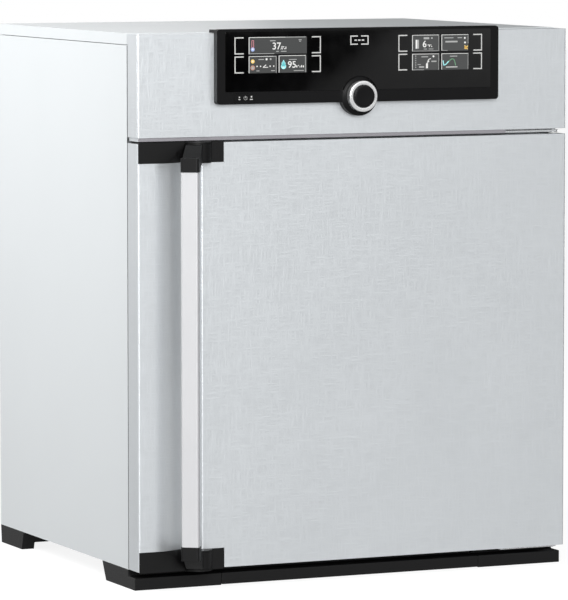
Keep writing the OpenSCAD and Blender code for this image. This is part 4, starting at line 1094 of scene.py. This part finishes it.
        # Lengths are distances from the button's middle.
        radius, width = 2.7, 0.7
        turns = [math.radians(degrees) for degrees in range(35, 330, 20)]
        ring = [(x + radius * math.sin(a), z + radius * math.cos(a)) for a in turns]
        marks.line(ring, width).bar(x - 0.4, x + 0.4, z, z + 3.4)
        marks.bar(x - 11.4, x - 8.4, z - 2.6, z - 1.5).bar(x - 10.9, x - 8.9, z + 0.3, z + 2.3)
        marks.disc(x + 9.8, z + 1.9, 1.3, 12).bar(x + 7.4, x + 12, z - 2.6, z - 1.4)
        marks.make("power_button", "black_abs", PRINT)

    def build(self) -> None:
        """Makes the whole panel."""
        self.casing()
        self.key_marks()
        self.left_screen()
        self.right_screen()
        self.dial()
        self.power_key()


@dataclass
class OuterDoor:
    """The steel door: a folded skin with a soft hand groove, its inner panel and its gasket.

    Attributes:
        side: Distance of the door's sides from the centre.
        front: Y of its front.
        back: Y of its back.
        low: Its lower side.
        high: Its upper side.
        bend: Outside radius of the folded front edges.
        sheet: Thickness of the sheet.
        groove: X of the groove's deepest line.
        groove_depth: Depth of the groove.
        slope: Width of its long left slope.
        bulge: Share of the slope that bulges before it turns hollow.
        wall: Width of its steep right side, behind the bar.
        wall_edge: Size of the rounded edge where the wall meets the front.
        bracket: X of the two sides of the corner spaces for the handle brackets.
        bracket_low: Upper side of the lower corner space.
        bracket_high: Lower side of the upper corner space.
        bracket_back: Y of the back of the corner spaces.
        facets: Facets of the groove's bulge, its hollow and its right side.
        hinge: X and Y of the hinge axis.
        bush_hole: Radius and depth of the cutters for the bushes.
        spare: How far the cutters of the corner spaces reach past the sheet.
        edge: Rounding of the sheet edges.
    """

    side: float = 359.5
    front: float = -267.418
    back: float = -229.418
    low: float = 29.5
    high: float = 672.5
    bend: float = 3.0
    sheet: float = 1.2
    groove: float = -277.0
    groove_depth: float = 13.0
    slope: float = 56.0
    bulge: float = 0.7
    wall: float = 21.0
    wall_edge: float = 2.4
    bracket: Pair = (-358.2, -219.3)
    bracket_low: float = 59.3
    bracket_high: float = 642.7
    bracket_back: float = -238.218
    facets: tuple[int, int, int] = (12, 8, 9)
    hinge: Pair = (351.5, -239.418)
    bush_hole: Pair = (7.1, 12.0)
    spare: float = 9.0
    edge: float = 0.35

    def groove_profile(self) -> list[Pair]:
        """Lays out the groove from left to right.

        Returns:
            X and Y of each point, from one flat end to the other.
        """
        tilt = 2 * math.atan(self.groove_depth / self.slope)
        bulge_r = self.bulge * self.slope / math.sin(tilt)
        hollow_r = (1 - self.bulge) * self.slope / math.sin(tilt)
        wall_r = (self.wall**2 + self.groove_depth**2) / (2 * self.groove_depth)
        end = math.asin(self.wall / wall_r) - self.wall_edge / wall_r
        start = self.groove - self.slope
        floor = self.front + self.groove_depth
        bulge_n, hollow_n, wall_n = self.facets
        points = []
        for step in range(bulge_n + 1):
            a = tilt * step / bulge_n
            points.append((start + bulge_r * math.sin(a), self.front + bulge_r * (1 - math.cos(a))))
        for step in range(1, hollow_n + 1):
            a = tilt * (1 - step / hollow_n)
            points.append((self.groove - hollow_r * math.sin(a), floor - hollow_r * (1 - math.cos(a))))
        for step in range(1, wall_n + 1):
            a = end * step / wall_n
            points.append((self.groove + wall_r * math.sin(a), floor - wall_r * (1 - math.cos(a))))
        x, y = points[-1]
        corner = self.groove + self.wall
        for t in (0.25, 0.5, 0.75, 1.0):
            across = (1 - t) ** 2 * x + 2 * t * (1 - t) * corner + t**2 * (corner + self.wall_edge)
            points.append((across, (1 - t) ** 2 * y + (1 - (1 - t) ** 2) * self.front))
        return points

    def skin(self) -> None:
        """Folds the skin from one sheet and cuts its corners and bush holes."""
        side, r = self.side, self.bend
        # Each fold is a quarter turn in six facets.
        turns = [math.radians(15 * step) for step in range(1, 7)]
        left = [(-side, self.back), (-side, self.front + r)]
        left += [(-side + r - r * math.cos(a), self.front + r - r * math.sin(a)) for a in turns]
        right = [(side - r + r * math.sin(a), self.front + r - r * math.cos(a)) for a in turns]
        right = [(side - r, self.front)] + right + [(side, self.back)]
        plan = left + self.groove_profile() + right
        door = Workpiece.outline("door_skin_made", [(x, y, self.low) for x, y in plan])
        door.extrude(z=self.high - self.low)
        for z in (self.low, self.high):
            door.pick_level(z)
            bpy.ops.mesh.edge_face_add()
        face_outwards()
        door.modify("SOLIDIFY", thickness=self.sheet * MM, offset=-1, use_even_offset=True)
        (x0, x1), y0, y1 = self.bracket, self.front - self.spare, self.bracket_back
        low, high = self.low - self.spare, self.high + self.spare
        for z0, z1 in ((low, self.bracket_low), (self.bracket_high, high)):
            door.cut(Workpiece.box("corner_space", (x0, y0, z0), (x1, y1, z1)))
        radius, depth = self.bush_hole
        for z in (self.low, self.high):
            clear_selection()
            bpy.ops.mesh.primitive_cylinder_add(
                vertices=48, radius=radius * MM, depth=depth * MM,
                location=(self.hinge[0] * MM, self.hinge[1] * MM, z * MM),
            )
            door.cut(Workpiece(bpy.context.object, "bush_hole"))
        door.soften(self.edge, angle=50)
        door.finish("outer_door", "textured_stainless", FRONT_STEEL, "door_skin", smooth=28)

    def inside(self) -> None:
        """Makes the inner panel, the gasket and the hinge bushes."""
        soften_nodes("stainless", CHAMBER_STEEL, self.edge, "door_inner_panel")
        soften_nodes("silicone", SILICONE, 1.2, "door_gasket")
        soften_nodes("white_plastic", WHITE_PLASTIC, 0.3, "hinge_bushes")
        dress_nodes(WOOL, "door_insulation")

    def build(self) -> None:
        """Makes the whole door."""
        self.skin()
        self.inside()


@dataclass
class Handle:
    """The lever handle: two black brackets, two arms, a brushed bar and the latch.

    Attributes:
        edge: Rounding of the moulded brackets and arms.
        bar_edge: Rounding of the bar's ends and of the latch tongue.
        pin_edge: Rounding of the pins.
    """

    edge: float = 0.9
    bar_edge: float = 0.4
    pin_edge: float = 0.3

    def build(self) -> None:
        """Makes the whole handle."""
        nodes = ("top_handle_bracket", "bottom_handle_bracket", "top_handle_arm", "bottom_handle_arm")
        soften_nodes("black_abs", BLACK_ABS, self.edge, *nodes)
        soften_nodes("brushed_bar", BAR_STEEL, self.bar_edge, "handle_bar")
        soften_nodes("chromed_steel", PLATED, self.pin_edge, "handle_pins")
        soften_nodes("chromed_steel", PLATED, self.bar_edge, "latch_tongue")


@dataclass
class Chamber:
    """The stainless chamber with its shelves, tray, fan cover and probes, behind the glass door.

    Attributes:
        edge: Rounding of the sheet edges.
    """

    edge: float = 0.35

    def build(self) -> None:
        """Makes the chamber and the glass door."""
        nodes = ("chamber_liner", "shelf_runners", "upper_shelf", "lower_shelf", "water_tray", "fan_cover")
        soften_nodes("stainless", CHAMBER_STEEL, self.edge, *nodes)
        soften_nodes("silicone", SILICONE, 0.9, "chamber_gasket")
        soften_nodes("stainless", PLATED, 0.3, "chamber_sensors")
        soften_nodes("clear_glass", GLASS, 0.5, "glass_pane")
        soften_nodes("chromed_steel", PLATED, 0.4, "glass_fittings")
        soften_nodes("aluminium_wheel", WHEEL, 0.2, "fan_wheel")
        soften_nodes("white_plastic", WHITE_PLASTIC, 0.4, "access_port")
        soften_nodes("silicone", SILICONE, 0.8, "port_stoppers")


@dataclass
class Services:
    """What sits on the service deck and on the rear: boards, motor, gas line and mains inlet."""

    def build(self) -> None:
        """Dresses the inner parts and makes those that show at the rear."""
        soften_nodes("black_abs", BLACK_ABS, 0.5, "mains_inlet")
        soften_nodes("brass_parts", BRASS, 0.3, "gas_inlet")
        dress_nodes(WOOL, "chamber_insulation")
        dress_nodes(FOIL, "chamber_heaters")
        dress_nodes(BOARD, "display_board", "controller_board")
        dress_nodes(ZINC, "power_supply")
        dress_nodes(PLATED, "dial_encoder")
        dress_nodes(MOTOR, "fan_motor")
        dress_nodes(BRASS, "gas_valve")
        dress_nodes(WHITE_PLASTIC, "gas_filter")
        dress_nodes(TUBE, "gas_tube")


def bare_material(name: str) -> bpy.types.Material:
    """Gives the material of that name, new or emptied of its nodes.

    Args:
        name: Its name.

    Returns:
        The Blender material.
    """
    made = bpy.data.materials.get(name) or bpy.data.materials.new(name)
    made.use_nodes = True
    made.node_tree.nodes.clear()
    return made


class Spread(Enum):
    """How a lamp's light spreads."""

    SOFTBOX = "AREA"
    FAR = "SUN"


@dataclass
class Lamp:
    """A studio lamp: a square softbox, or one so far away that it lights near and far alike.

    Attributes:
        name: Its name.
        place: Where it stands, in metres.
        aim: The point that it faces, in metres.
        size: Side of the softbox in metres, or angle of the far lamp in degrees.
        power: Its watts, or the far lamp's watts per square metre.
        spread: Which of the two it is.
    """

    name: str
    place: Triple
    aim: Triple
    size: float
    power: float
    spread: Spread = Spread.SOFTBOX

    def hang(self) -> None:
        """Adds the lamp to the scene."""
        data = bpy.data.lights.new(self.name, self.spread.value)
        data.energy = self.power
        if self.spread is Spread.FAR:
            data.angle = math.radians(self.size)
        else:
            data.size = self.size
        lamp = bpy.data.objects.new(self.name, data)
        lamp.location = self.place
        lamp.rotation_euler = (Vector(self.aim) - Vector(self.place)).to_track_quat("-Z", "Y").to_euler()
        bpy.context.scene.collection.objects.link(lamp)


@dataclass
class Flag:
    """A black card that only shows as a dark shape in glossy surfaces.

    Attributes:
        name: Its name.
        corners: Its corners in metres: lower left, lower right, upper left, upper right.
    """

    name: str
    corners: tuple[Triple, ...]

    def stand(self) -> None:
        """Adds the card to the scene."""
        clear_selection()
        bpy.ops.mesh.primitive_plane_add(size=1)
        card = bpy.context.object
        card.name = self.name
        for vertex, corner in zip(card.data.vertices, self.corners):
            vertex.co = corner
        made = bare_material("black_card")
        black = add_node(made.node_tree, "ShaderNodeEmission", {"Strength": 0.0})
        add_node(made.node_tree, "ShaderNodeOutputMaterial", {"Surface": black.outputs[0]})
        card.data.materials.append(made)
        card.visible_camera = card.visible_diffuse = card.visible_transmission = card.visible_shadow = False


@dataclass
class Studio:
    """White floor, even light and the photograph's camera. Lengths are metres.

    Attributes:
        camera: Where the camera stands.
        turn: Its rotation in degrees.
        lens: Its focal length in millimetres.
        film: Longer side of its picture in millimetres.
        clip: Nearest and farthest distance that it sees.
        ambient: Strength of the world's light on the object.
        dimming: How fast that light fades upwards.
        floor_size: Side of the floor.
        floor_paper: Colour of the floor to the camera.
        floor_glow: How much of the floor's white is its own light, which no shadow dims.
        floor_white: Strength of that light, so that the far floor is white as well.
        floor_shade: Colour of the floor as the object's sides meet it, so that they darken downwards.
        floor_shine: Strength of the floor as gloss shows it.
        gloss: Strength of the world as gloss shows it.
        lamps: The lamps.
        flags: The cards that show in glossy surfaces.
    """

    camera: Triple = (-2.9443, -6.5073, 1.0521)
    turn: Triple = (84.82, 0.0, -24.35)
    lens: float = 272.8
    film: float = 36.0
    clip: Pair = (0.1, 100.0)
    ambient: float = 0.94
    dimming: float = 1.5
    floor_size: float = 40.0
    floor_paper: str = "F4F4F4"
    floor_glow: float = 0.75
    floor_white: float = 1.15
    floor_shade: str = "6A6A6A"
    floor_shine: float = 0.6
    gloss: float = 1.0
    lamps: tuple[Lamp, ...] = (
        Lamp("front_softbox", (-1.3, -4.2, 1.9), (0, -0.2, 0.35), 2.0, 112),
        Lamp("left_softbox", (-1.7, 0.3, 1.5), (-0.36, 0.05, 0.6), 1.0, 27),
        Lamp("right_softbox", (3.0, 0.9, 0.9), (0.36, 0.1, 0.45), 1.2, 15),
        Lamp("front_wall", (-1.6, -4.4, 1.7), (0, 0, 0), 40, 1.2, Spread.FAR),
    )
    flags: tuple[Flag, ...] = (
        Flag("panel_flag", ((0.9, -4.0, 0.4), (1.36, -4.0, 0.4), (0.9, -4.0, 0.75), (1.93, -4.0, 0.75))),
        Flag("cover_flag", ((1.3, 3.0, 0.0), (4.5, 3.0, 0.0), (1.3, 3.0, 3.0), (4.5, 3.0, 3.0))),
        Flag("side_flag", ((3.2, -3.1, -1.0), (3.2, 2.5, -1.0), (3.2, -3.1, 4.0), (3.2, 2.5, 4.0))),
    )

    def world(self) -> None:
        """Makes the world white to the camera and through glass, and softer and darker upwards as light."""
        world = bpy.data.worlds.new("white_studio")
        world.use_nodes = True
        bpy.context.scene.world = world
        tree = world.node_tree
        tree.nodes.clear()
        path = add_node(tree, "ShaderNodeLightPath").outputs
        plain = maths(tree, "MAXIMUM", path["Is Camera Ray"], path["Is Transmission Ray"])
        way = add_node(tree, "ShaderNodeTexCoord").outputs["Generated"]
        up = add_node(tree, "ShaderNodeSeparateXYZ", {0: way}).outputs["Z"]
        down = maths(tree, "SUBTRACT", 1.0, up, use_clamp=True)
        walls = maths(tree, "MULTIPLY", maths(tree, "POWER", down, self.dimming), self.ambient)
        ends = {"Value": path["Is Glossy Ray"], "To Min": walls, "To Max": self.gloss}
        soft = add_node(tree, "ShaderNodeMapRange", ends).outputs["Result"]
        light = add_node(tree, "ShaderNodeBackground", {"Color": WHITE, "Strength": soft}).outputs[0]
        white = add_node(tree, "ShaderNodeBackground", {"Color": WHITE, "Strength": 1.0}).outputs[0]
        add_node(tree, "ShaderNodeOutputWorld", {"Surface": mix(tree, plain, light, white)})

    def floor(self) -> None:
        """Lays a white floor that keeps the object's shadow."""
        clear_selection()
        bpy.ops.mesh.primitive_plane_add(size=self.floor_size)
        floor = bpy.context.object
        floor.name = "studio_floor"
        made = bare_material("white_paper")
        tree = made.node_tree
        path = add_node(tree, "ShaderNodeLightPath").outputs
        paper, table = (
            add_node(tree, "ShaderNodeBsdfDiffuse", {"Color": linear(shade)}).outputs[0]
            for shade in (self.floor_paper, self.floor_shade)
        )
        glow, shine = (
            add_node(tree, "ShaderNodeEmission", {"Color": WHITE, "Strength": strength}).outputs[0]
            for strength in (self.floor_white, self.floor_shine)
        )
        seen = mix(tree, self.floor_glow, paper, glow)
        unseen = mix(tree, path["Is Glossy Ray"], table, shine)
        surface = mix(tree, path["Is Camera Ray"], unseen, seen)
        add_node(tree, "ShaderNodeOutputMaterial", {"Surface": surface})
        floor.data.materials.append(made)

    def build(self) -> None:
        """Sets up the whole studio."""
        self.world()
        self.floor()
        for lamp in self.lamps:
            lamp.hang()
        for flag in self.flags:
            flag.stand()
        data = bpy.data.cameras.new("studio_camera")
        data.lens, data.sensor_width = self.lens, self.film
        data.clip_start, data.clip_end = self.clip
        camera = bpy.data.objects.new("studio_camera", data)
        camera.location = self.camera
        camera.rotation_euler = [math.radians(a) for a in self.turn]
        bpy.context.scene.collection.objects.link(camera)
        bpy.context.scene.camera = camera
        bpy.context.scene.view_settings.view_transform = "Standard"


def main() -> None:
    """Builds the studio and every sub-assembly."""
    logging.basicConfig(level=logging.INFO, format="%(name)s %(message)s")
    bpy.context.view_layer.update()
    Studio().build()
    for assembly in (Cabinet(), ControlPanel(), OuterDoor(), Handle(), Chamber(), Services()):
        log.info("building %s", type(assembly).__name__)
        assembly.build()


if __name__ == "__main__":
    main()
